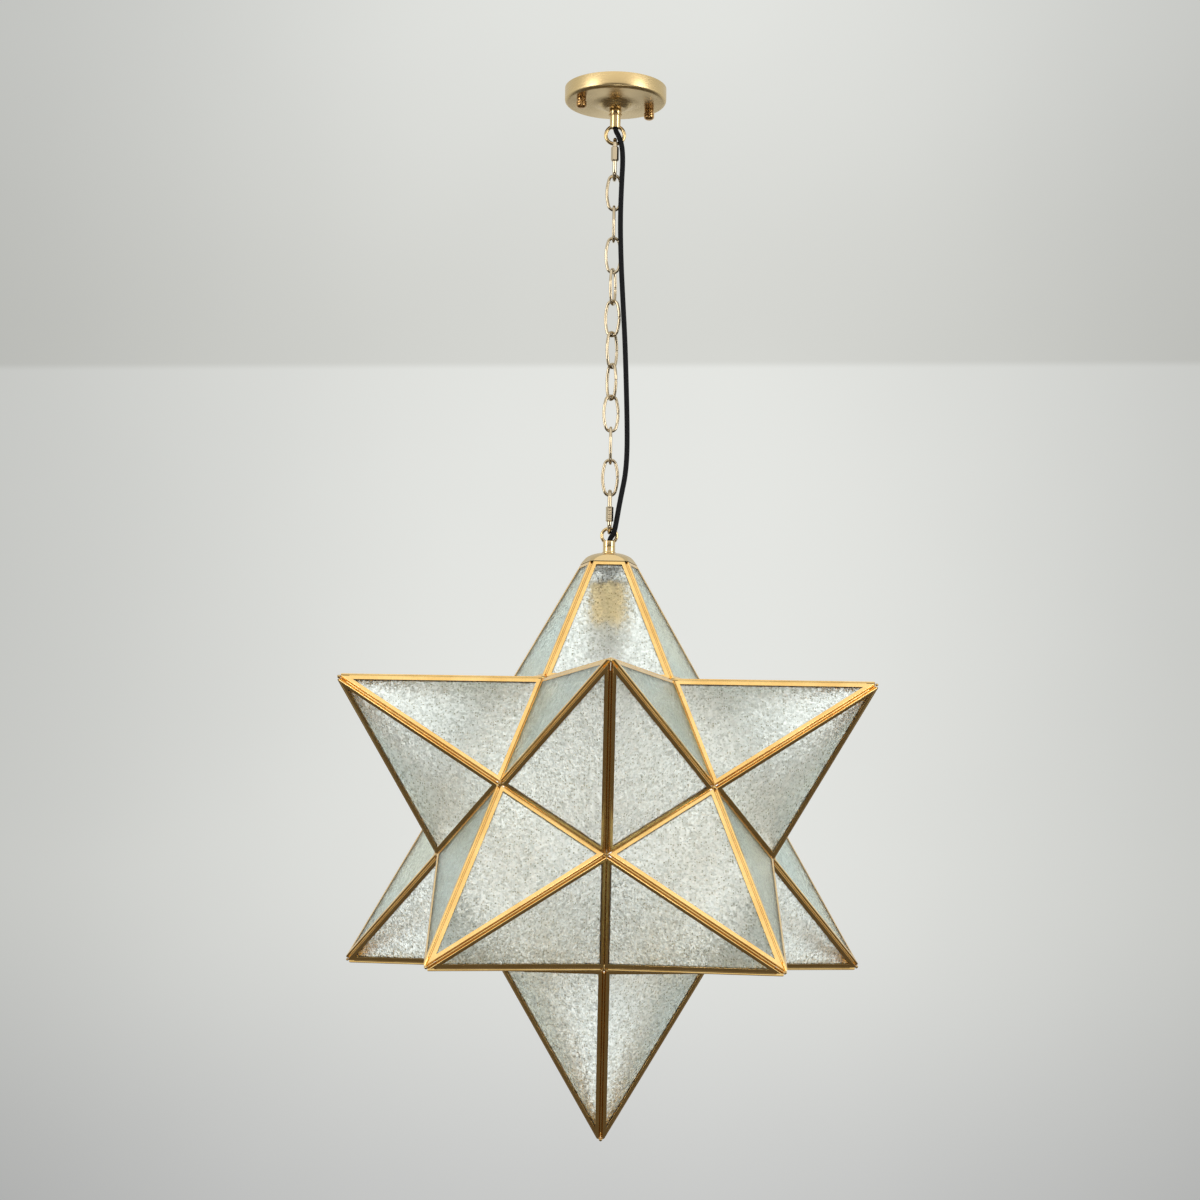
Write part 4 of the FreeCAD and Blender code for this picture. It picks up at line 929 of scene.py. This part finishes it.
# %% Canopy and finger nuts
TUBE_HOLE = 5.1
SHEET = 1.2
BELL_HEIGHT, BELL_NECK = 5.9, 4.6
NUT_RADIUS, NUT_HEIGHT, NUT_GAP = 5.1, 10.6, 0.05
NUT_NECK, NUT_BORE, NUT_BORE_DEPTH = 3.7, 2.05, 3.85
STUD_HOLE, DRILL_FOOT, DRILL_TOP = 2.3, -20, -8


def make_canopy():
    """The cup: a bell at its middle, a flat floor, an eased edge and a straight wall, all one sheet."""
    low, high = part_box("canopy_cover")
    rim, end = high.x / MM, low.z / MM
    floor, neck = end + BELL_HEIGHT, end + BELL_NECK
    below = [
        (TUBE_HOLE, end, 0.3), (10.0, end, 0.6), (12.6, end + 1.0, 1.5), (15.0, end + 2.9, 2.0),
        (16.5, neck, 1.2), (19.5, floor - 0.55, 2.5), (24.0, floor, 3.0), (rim, floor, 4.2), (rim, 0.0, 0.25),
    ]
    inside = [
        (rim - SHEET, 0.0, 0.25), (rim - SHEET, floor + SHEET, 3.0), (23.0, floor + SHEET, 2.0),
        (16.0, neck + SHEET, 1.5), (9.4, end + SHEET, 0.8), (TUBE_HOLE, end + SHEET, 0.2),
    ]
    cup = spun("canopy_spinning", rounded(below + inside, steps=8), sides=180)
    nut_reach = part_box("cap_nuts")[1] - Vector((NUT_RADIUS * MM, NUT_RADIUS * MM, 0))
    spots = [Vector((side * nut_reach.x, side * nut_reach.y, 0)) for side in (-1, 1)]
    outline = [(0, DRILL_FOOT), (STUD_HOLE, DRILL_FOOT), (STUD_HOLE, DRILL_TOP), (0, DRILL_TOP)]
    drill = spun("drill", outline, sides=32)
    drills = [("DIFFERENCE", moved(drill, Matrix.Translation(spot))) for spot in spots]
    cover = combined("canopy", cup, drills)
    finished("spun_canopy", cover, "satin_brass", "canopy", "canopy_cover", sharp=30)
    return floor, spots


def make_nuts(floor, spots):
    """A collar against the canopy, a neck, and a barrel with one groove and a domed end."""
    top = floor - NUT_GAP
    outline = rounded([
        (NUT_BORE, top, 0.1), (NUT_BORE, top - NUT_BORE_DEPTH, 0), (0, top - NUT_BORE_DEPTH, 0),
        (0, top - NUT_HEIGHT, 0), (2.4, top - 10.45, 0.6), (4.2, top - 9.6, 1.0),
        (NUT_RADIUS, top - 8.2, 0.9), (NUT_RADIUS, top - 6.5, 0.25),
        (4.85, top - 6.25, 0.2), (4.85, top - 5.85, 0.2),
        (NUT_RADIUS, top - 5.6, 0.25), (NUT_RADIUS, top - 3.8, 0.5), (NUT_NECK, top - 3.8, 0.25),
        (NUT_NECK, top - 2.8, 0.25), (4.6, top - 2.8, 0.45), (4.6, top, 0.45),
    ])
    nut = spun("nut", outline, sides=72)
    pair = joined("nuts", [moved(nut, Matrix.Translation(spot)) for spot in spots])
    finished("turned_cap_nuts", pair, "nut_brass", "canopy", "cap_nuts", sharp=30)


canopy_floor, nut_spots = make_canopy()
make_nuts(canopy_floor, nut_spots)
print("canopy floor at", round(canopy_floor, 2), "mm, nuts at", [[round(x, 4) for x in s] for s in nut_spots])

# %% [markdown]
# ## Hubs with eyes
# Each end of the chain hangs in an eye. Hub and eye are one casting, so a boolean joins the turned
# hub and the bent ring, and the cord's way is bored through both afterwards, as on the real one:
# a straight bore, and a wider mouth that saves the cord from an edge.

# %% Hubs with eyes
TUBE_SEAT = 5.05
SOLID_CORE = 2.0
CORD_BORE, CORD_MOUTH = 2.6, 3.2
UPPER_RING_WIRE, UPPER_RING_WIDTH = 0.0036, 0.0216
LOWER_RING_WIRE, LOWER_RING_WIDTH = 0.0032, 0.0175


def make_eye(node, body, wire, ring_width, ring_height, outline, bores):
    """A hub, spun from its outline, with a ring of wire and bored: each bore is (radius, low, high)."""
    hub = spun(node + "_hub", rounded(outline), sides=96)
    loop = arc((0, 0), ring_width / 2 - wire / 2, 0, 360, 96)[:-1]
    ring = grown(node + "_ring", edge_lines(node, [loop], closed=True), WIRE, Thickness=wire, Sides=36,
                 Finish=FINISHES["polished_brass"])
    steps = [("UNION", moved(ring, Matrix.Translation((0, 0, ring_height))))]
    for radius, low, high in bores:
        drill = [(0, low), (radius, low), (radius, high), (0, high)]
        steps.append(("DIFFERENCE", spun("bore", drill, sides=48)))
    name = "turned_" + node
    finished(name, combined(name, hub, steps), "polished_brass", body, node, sharp=32)


def make_canopy_loop():
    """From the ceiling down: a waisted neck, a collar, a straight barrel and the eye."""
    low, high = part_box("canopy_loop")
    top, base = high.z / MM, high.z / MM - 19.1
    outline = [
        (TUBE_SEAT, top, 0.1), (TUBE_SEAT, top - 6.55, 0), (SOLID_CORE, top - 6.55, 0),
        (SOLID_CORE, base, 0), (5.3, base, 0.35), (5.3, top - 6.8, 0.3), (6.8, top - 6.8, 0.45),
        (6.8, top - 5.4, 0.45), (5.6, top - 5.0, 0.5), (6.1, top - 3.4, 0.8), (6.1, top - 1.6, 0.8),
        (5.6, top, 0.3),
    ]
    bores = [(CORD_BORE, base - 4.5, base + 5.9), (CORD_MOUTH, base - 4.5, base + 2.3)]
    make_eye("canopy_loop", "canopy", UPPER_RING_WIRE, high.x - low.x, low.z + UPPER_RING_WIDTH / 2, outline,
             bores)


def make_star_loop():
    """From the star up: a foot, a barrel with one groove and the eye."""
    low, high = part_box("star_loop")
    base, top = low.z / MM, low.z / MM + 12.05
    outline = [
        (TUBE_SEAT, base, 0.1), (6.9, base, 0.3), (6.9, base + 1.2, 0.45), (5.9, base + 1.75, 0.3),
        (5.9, base + 5.6, 0.1), (5.7, base + 5.8, 0.1), (5.7, base + 6.2, 0.1), (5.9, base + 6.4, 0.1),
        (5.9, top, 0.5), (SOLID_CORE, top, 0), (SOLID_CORE, base + 3.8, 0), (TUBE_SEAT, base + 3.8, 0),
    ]
    bores = [(CORD_BORE, top - 5.6, top + 4.5), (CORD_MOUTH, top - 2.3, top + 4.5)]
    make_eye("star_loop", "star", LOWER_RING_WIRE, LOWER_RING_WIDTH, high.z - LOWER_RING_WIDTH / 2, outline,
             bores)


make_canopy_loop()
make_star_loop()
print("two hubs with eyes", UPPER_RING_WIDTH, "and", LOWER_RING_WIDTH, "wide")

# %% [markdown]
# ## Where the star's points are
# The star is a stellated dodecahedron. Twelve tips stand where the corners of an icosahedron would,
# and twenty inner corners lie between each three neighbouring tips. Everything in the leading
# follows from one length, from tip to tip, and the golden ratio, so it is worked out here from the
# same rule that made the glass.

# %% Star geometry
STAR_SPAN = 0.5
GOLDEN = (1 + math.sqrt(5)) / 2
STAR_RADIUS = STAR_SPAN * math.sqrt(5) / (4 * math.sin(math.radians(72)))
HALF_BASE = STAR_SPAN * (math.sqrt(5) - 2) / 2
PANE_HEIGHT = HALF_BASE * math.tan(math.radians(72))
RIDGE_HALF_ANGLE = math.atan(GOLDEN)
CROWN_RADIUS = 0.027


def star_tips():
    height = STAR_RADIUS / math.sqrt(5)
    tips = {"top": Vector((0, 0, STAR_RADIUS)), "bottom": Vector((0, 0, -STAR_RADIUS))}
    for number in range(5):
        for ring_name, rise, first in (("upper", height, 0), ("lower", -height, 36)):
            turn = math.radians(first + 72 * number)
            tips["%s_%d" % (ring_name, number + 1)] = Vector((2 * height * math.sin(turn),
                                                              -2 * height * math.cos(turn), rise))
    return tips


def star_corners(tips):
    """The inner corners: {three tip names: place}."""
    side = 1.01 * STAR_SPAN / GOLDEN
    reach = HALF_BASE * math.sqrt(3) * GOLDEN
    names = sorted(tips)
    return {
        (a, b, c): (tips[a] + tips[b] + tips[c]).normalized() * reach
        for a in names for b in names for c in names
        if a < b < c and (tips[a] - tips[b]).length < side and (tips[b] - tips[c]).length < side
        and (tips[a] - tips[c]).length < side
    }


def panes_round(tip_name):
    """The five panes round a tip, as (tip, one base corner, the other), seen from outside."""
    tip = TIPS[tip_name]
    near = [spot for names, spot in CORNERS.items() if tip_name in names]
    axis = tip.normalized()
    across = (near[0] - axis * near[0].dot(axis)).normalized()
    along = axis.cross(across)
    near.sort(key=lambda spot: math.atan2(spot.dot(along), spot.dot(across)))
    return [(tip, near[i], near[(i + 1) % 5]) for i in range(5)]


def pane_axes(tip, left, right):
    """A pane's base middle, its direction to the tip and its outward side."""
    middle = (left + right) / 2
    across = (right - left).normalized()
    along = (tip - middle).normalized()
    return middle, along, across.cross(along)


TIPS = star_tips()
CORNERS = star_corners(TIPS)
print("tips", len(TIPS), "inner corners", len(CORNERS), "radius", round(STAR_RADIUS, 4))

# %% [markdown]
# ## The leading
# Every pane is held in a U-shaped brass channel, cut to length, mitred at the corners and soldered.
# One frame is made flat, by carrying the channel's section round the pane's outline. A Geometry
# Nodes tree then sets a copy on every pane of a point, turned by two directions stored with the
# pane. The section has an eased back, a slightly domed flange and a thin lip that grips the glass.

# %% Frames of the panes
CHANNEL_DEPTH = 0.0039
CHANNEL_FLANGE = 0.0038
CHANNEL_WALL = 0.0004
FRAME_GAP = 0.00005
SETBACK = CHANNEL_DEPTH / 2 / GOLDEN + FRAME_GAP


def channel_section():
    """(distance in from the pane's outline, height above its middle), once round the U."""
    half = CHANNEL_DEPTH / 2
    back = [(0.0, half - 0.0007), (0.00012, half - 0.0003), (0.0004, half - 0.00008)]
    dome = [(0.0010, half - 0.00002), (0.0019, half), (0.0028, half - 0.00003), (0.0034, half - 0.00010)]
    lip = [(CHANNEL_FLANGE - 0.0001, half - 0.00020), (CHANNEL_FLANGE, half - 0.00030),
           (CHANNEL_FLANGE - 0.00005, half - CHANNEL_WALL), (CHANNEL_WALL, half - CHANNEL_WALL)]
    upper = [(SETBACK + inward, height) for inward, height in back + dome + lip]
    return upper + [(inward, -height) for inward, height in reversed(upper)]


def flat_frame(name, outline):
    """The channel carried round a flat outline and mitred at each corner."""
    section = channel_section()
    shape = bmesh.new()
    stations = []
    for i, here in enumerate(outline):
        back = (outline[i - 1] - here).normalized()
        on = (outline[(i + 1) % len(outline)] - here).normalized()
        mitre = (back + on).normalized() / math.sin(back.angle(on) / 2)
        stations.append([shape.verts.new(here + mitre * inward + Vector((0, 0, h))) for inward, h in section])
    return skinned(name, shape, stations)


def setting_tree():
    """A tree that sets a pattern on every point, by its outward side and its direction to the tip."""
    tree, ends = new_tree("set_on_panes", Pattern=("Object", None), Finish=("Material", None))
    points = put(tree, "GeometryNodeMeshToPoints", {0: ends["Shape"]}).outputs[0]
    outward, tipward = (
        put(tree, "GeometryNodeInputNamedAttribute", {"Name": name}, data_type="FLOAT_VECTOR")
        for name in ("outward", "tipward")
    )
    turn = put(tree, "FunctionNodeAxesToRotation",
               {0: outward.outputs["Attribute"], 1: tipward.outputs["Attribute"]},
               primary_axis="Z", secondary_axis="Y").outputs[0]
    pattern = put(tree, "GeometryNodeObjectInfo", {"Object": ends["Pattern"]}).outputs["Geometry"]
    placed = put(tree, "GeometryNodeInstanceOnPoints", {
        "Points": points, "Instance": pattern, "Rotation": turn,
    })
    finish_tree(tree, placed.outputs[0], ends["Finish"])
    return tree


def pane_points(tip_name):
    """A point at the base of each of a tip's five panes, with the two directions that turn its frame."""
    axes = [pane_axes(*pane) for pane in panes_round(tip_name)]
    points = bpy.data.meshes.new("panes")
    points.from_pydata([STAR_CENTRE + middle for middle, _, _ in axes], [], [])
    for name, column in (("tipward", 1), ("outward", 2)):
        stored = points.attributes.new(name, "FLOAT_VECTOR", "POINT")
        stored.data.foreach_set("vector", [x for row in axes for x in row[column]])
    return points


def make_frames():
    base = [Vector((-HALF_BASE, 0, 0)), Vector((HALF_BASE, 0, 0))]
    whole = flat_frame("frame", base + [Vector((0, PANE_HEIGHT, 0))])
    crown_half = CROWN_RADIUS * math.sin(math.radians(36))
    crown_height = PANE_HEIGHT - CROWN_RADIUS * GOLDEN * math.sqrt(5) / 2
    crown = [Vector((crown_half, crown_height, 0)), Vector((-crown_half, crown_height, 0))]
    cut_off = flat_frame("crown_frame", base + crown)
    tree = setting_tree()
    for tip_name in TIPS:
        pattern = bpy.data.objects.new("pattern", cut_off if tip_name == "top" else whole)
        bpy.context.scene.collection.objects.link(pattern)
        ring = grown("came", pane_points(tip_name), tree, Pattern=pattern, Finish=FINISHES["came_brass"])
        bpy.data.objects.remove(pattern)
        finished("leading_" + tip_name, ring, "came_brass", "star", "came_" + tip_name, sharp=40)
    print("frames", len(TIPS) * 5, "faces each", len(whole.polygons))


make_frames()

# %% [markdown]
# ## Solder
# Solder is run by hand and never even. A plain tube would look like moulding, and displacing it
# by hand along sixty edges would take a day. So one tree carries a round section along each line
# and swells and pinches it with noise as it goes, and another sets a blob at each point it is
# given, in slightly different sizes, and dents it.

# %% Solder trees
BEAD = 0.0018
BEAD_STEP, BEAD_SWELLS = 0.0022, 160.0
BLOB_SIZES, BLOB_SEED, BLOB_LUMPS = (0.88, 1.10), 7, 420.0


def bead_tree():
    tree, ends = new_tree(
        "run_bead", Width=("Float", BEAD), Unevenness=("Float", 0.25), Finish=("Material", None),
    )
    path = put(tree, "GeometryNodeMeshToCurve", {0: ends["Shape"]}).outputs[0]
    path = put(tree, "GeometryNodeResampleCurve", {"Curve": path, "Length": BEAD_STEP},
               mode="LENGTH").outputs[0]
    swell = put(tree, "ShaderNodeTexNoise", {"Scale": BEAD_SWELLS, "Detail": 2.0}).outputs[0]
    swell = maths(tree, "MULTIPLY", maths(tree, "SUBTRACT", swell, 0.5), ends["Unevenness"])
    finish_tree(tree, swept(tree, path, maths(tree, "ADD", swell, 1.0), ends["Width"], 10), ends["Finish"])
    return tree


def blob_tree():
    tree, ends = new_tree(
        "drop_blobs", Width=("Float", 0.004), Dent=("Float", 0.0004), Finish=("Material", None),
    )
    points = put(tree, "GeometryNodeMeshToPoints", {0: ends["Shape"]}).outputs[0]
    radius = maths(tree, "MULTIPLY", ends["Width"], 0.5)
    ball = put(tree, "GeometryNodeMeshIcoSphere", {"Radius": radius, "Subdivisions": 4}).outputs[0]
    size = put(tree, "FunctionNodeRandomValue", {2: BLOB_SIZES[0], 3: BLOB_SIZES[1], "Seed": BLOB_SEED},
               data_type="FLOAT").outputs[1]
    placed = put(tree, "GeometryNodeInstanceOnPoints", {"Points": points, "Instance": ball, "Scale": size})
    solid = put(tree, "GeometryNodeRealizeInstances", {0: placed.outputs[0]}).outputs[0]
    lumps = put(tree, "ShaderNodeTexNoise", {"Scale": BLOB_LUMPS, "Detail": 2.0}).outputs[0]
    depth = maths(tree, "MULTIPLY", maths(tree, "SUBTRACT", lumps, 0.55), ends["Dent"])
    outward = put(tree, "GeometryNodeInputNormal").outputs[0]
    push = put(tree, "ShaderNodeVectorMath", {0: outward, "Scale": depth}, operation="SCALE").outputs[0]
    dented = put(tree, "GeometryNodeSetPosition", {"Geometry": solid, "Offset": push}).outputs[0]
    finish_tree(tree, dented, ends["Finish"])
    return tree


BEAD_RUN, BLOB_DROP = bead_tree(), blob_tree()
print("solder trees with", len(BEAD_RUN.nodes), "and", len(BLOB_DROP.nodes), "nodes")

# %% [markdown]
# ## Where the solder goes
# Where two frames meet along an outer edge, a thin bead fills the groove between them. In the
# valleys, where the points of the star meet, the solder lies lower, and every inner corner and tip
# is finished with a blob. The lines and points all follow from the star's corners, so none of them
# is drawn by hand.

# %% Beads and blobs
BEAD_STOP, BEAD_START = 0.005, 0.012
EDGE_UNEVENNESS, VALLEY_UNEVENNESS = 0.22, 0.5
CORNER_BLOB, CORNER_DENT = 0.0046, 0.0009
TIP_BLOB, TIP_DENT, TIP_SINK = 0.0030, 0.0006, 0.6


def groove_offset():
    """How far outside the panes' meeting line a bead lies on both channels; below zero is inside."""
    return BEAD / 2 / math.cos(RIDGE_HALF_ANGLE) - CHANNEL_DEPTH / 2 / math.sin(RIDGE_HALF_ANGLE)


def ridge_lines():
    """One line down the groove of each outer edge, from near its tip to near its inner corner."""
    lines = []
    for tip_name in TIPS:
        panes = panes_round(tip_name)
        first = BEAD_START
        if tip_name == "top":
            first = CROWN_RADIUS * GOLDEN / math.sin(RIDGE_HALF_ANGLE) + CHANNEL_FLANGE
        for one, other in zip(panes, panes[-1:] + panes[:-1]):
            tip, corner, _ = one
            outward = (pane_axes(*one)[2] + pane_axes(*other)[2]).normalized() * groove_offset()
            way = (corner - tip).normalized()
            ends = tip + way * first, corner - way * BEAD_STOP
            lines.append([STAR_CENTRE + end + outward for end in ends])
    return lines


def valley_lines():
    """One line along the bottom of each valley, between two neighbouring inner corners."""
    lines = []
    for names, spot in CORNERS.items():
        for others, end in CORNERS.items():
            if names < others and len(set(names) & set(others)) == 2:
                way = (end - spot).normalized() * BEAD_STOP
                outward = ((end + spot) / 2).normalized() * -groove_offset()
                lines.append([STAR_CENTRE + spot + way + outward, STAR_CENTRE + end - way + outward])
    return lines


def spot_mesh(name, places):
    """Loose points, for a tree to set things on."""
    mesh = bpy.data.meshes.new(name)
    mesh.from_pydata([STAR_CENTRE + place for place in places], [], [])
    return mesh


def make_solder():
    ridges = grown("ridges", edge_lines("ridges", ridge_lines()), BEAD_RUN, Width=BEAD,
                   Unevenness=EDGE_UNEVENNESS, Finish=FINISHES["came_brass"])
    finished("beads_of_the_edges", ridges, "came_brass", "star", "ridge_beads", sharp=60)
    dark = FINISHES["aged_solder"]
    sink = CHANNEL_DEPTH / 2 * math.sqrt(5) - TIP_SINK * TIP_BLOB
    sunk_tips = [tip - tip.normalized() * sink for name, tip in TIPS.items() if name != "top"]
    runs = [
        grown("valleys", edge_lines("valleys", valley_lines()), BEAD_RUN, Width=BEAD,
              Unevenness=VALLEY_UNEVENNESS, Finish=dark),
        grown("corners", spot_mesh("corners", CORNERS.values()), BLOB_DROP, Width=CORNER_BLOB,
              Dent=CORNER_DENT, Finish=dark),
        grown("tips", spot_mesh("tips", sunk_tips), BLOB_DROP, Width=TIP_BLOB, Dent=TIP_DENT, Finish=dark),
    ]
    finished("solder_blobs", joined("solder", runs), "aged_solder", "star", "solder_joints", sharp=60)
    print("beads", len(ridge_lines()), "valleys", len(valley_lines()), "blobs", len(CORNERS) + len(sunk_tips))


make_solder()

# %% [markdown]
# ## The cord's pieces
# Each piece is a tube with a ring of points at every point of the spline. A UV map runs along and
# round it, so that the weave of its textile sheath can follow the cord. Neighbouring pieces share
# their end rings.

# %% Cord
CORD_SIDES = 20
CORD_STEP = 0.0002
SHEATH_SCALE = 100
HANGING = ["quick_link_top", *("chain_link_%02d" % i for i in range(1, 11)), "quick_link_bottom"]


def with_cuts(line, cuts):
    """The line with a point added where it passes each cut, and the places of those points."""
    points, stops = [line[0]], [0]
    for here, there in zip(line, line[1:]):
        for cut in cuts:
            if there.z <= cut < here.z:
                points.append(here.lerp(there, (here.z - cut) / (here.z - there.z)))
                stops.append(len(points) - 1)
        if (there - points[-1]).length > CORD_STEP:
            points.append(there)
    return points, stops + [len(points) - 1]


def cord_frames(points):
    """Two directions across the cord at every point, carried along without twist."""
    frames = []
    aside = Vector((1, 0, 0))
    for i in range(len(points)):
        way = (points[min(i + 1, len(points) - 1)] - points[max(i - 1, 0)]).normalized()
        aside = (aside - way * aside.dot(way)).normalized()
        frames.append((aside, way.cross(aside)))
    return frames


def cord_mesh(name, points, frames, start):
    """A capped tube along the points, with its length and its way round kept as a UV map."""
    shape = bmesh.new()
    sheath = shape.loops.layers.uv.new("sheath")
    turns = [2 * math.pi * k / CORD_SIDES for k in range(CORD_SIDES)]
    rings = [
        [shape.verts.new(here + (one * math.cos(a) + two * math.sin(a)) * CORD_WIDTH / 2) for a in turns]
        for here, (one, two) in zip(points, frames)
    ]
    reach = [start]
    for here, there in zip(points, points[1:]):
        reach.append(reach[-1] + (there - here).length)
    for i, (ring, after) in enumerate(zip(rings, rings[1:])):
        for k in range(CORD_SIDES):
            n = (k + 1) % CORD_SIDES
            face = shape.faces.new((ring[k], after[k], after[n], ring[n]))
            spots = ((i, k), (i + 1, k), (i + 1, k + 1), (i, k + 1))
            for loop, (level, turn) in zip(face.loops, spots):
                loop[sheath].uv = (reach[level] * SHEATH_SCALE, turn / CORD_SIDES)
    shape.faces.new(rings[0])
    shape.faces.new(reversed(rings[-1]))
    return as_mesh(name, shape)


def make_cord():
    """The cord is cut at the middle of each hanging piece that it passes."""
    cuts = [sum(corner.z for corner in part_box(node)) / 2 for node in HANGING]
    points, stops = with_cuts(cord_line, cuts)
    frames = cord_frames(points)
    joints = zip(["canopy"] + HANGING, HANGING + ["star"])
    start = 0.0
    for number, (first, last, bodies) in enumerate(zip(stops, stops[1:], joints), start=1):
        path = points[first:last + 1]
        name = "cord_%02d" % number
        piece = finished(name, cord_mesh(name, path, frames[first:last + 1], start), "cord_black", None,
                         "power_cord", sharp=60)
        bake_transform(piece)
        start += line_length(path)
    print("cord pieces", len(stops) - 1, "in all", round(start, 4), "m")


make_cord()
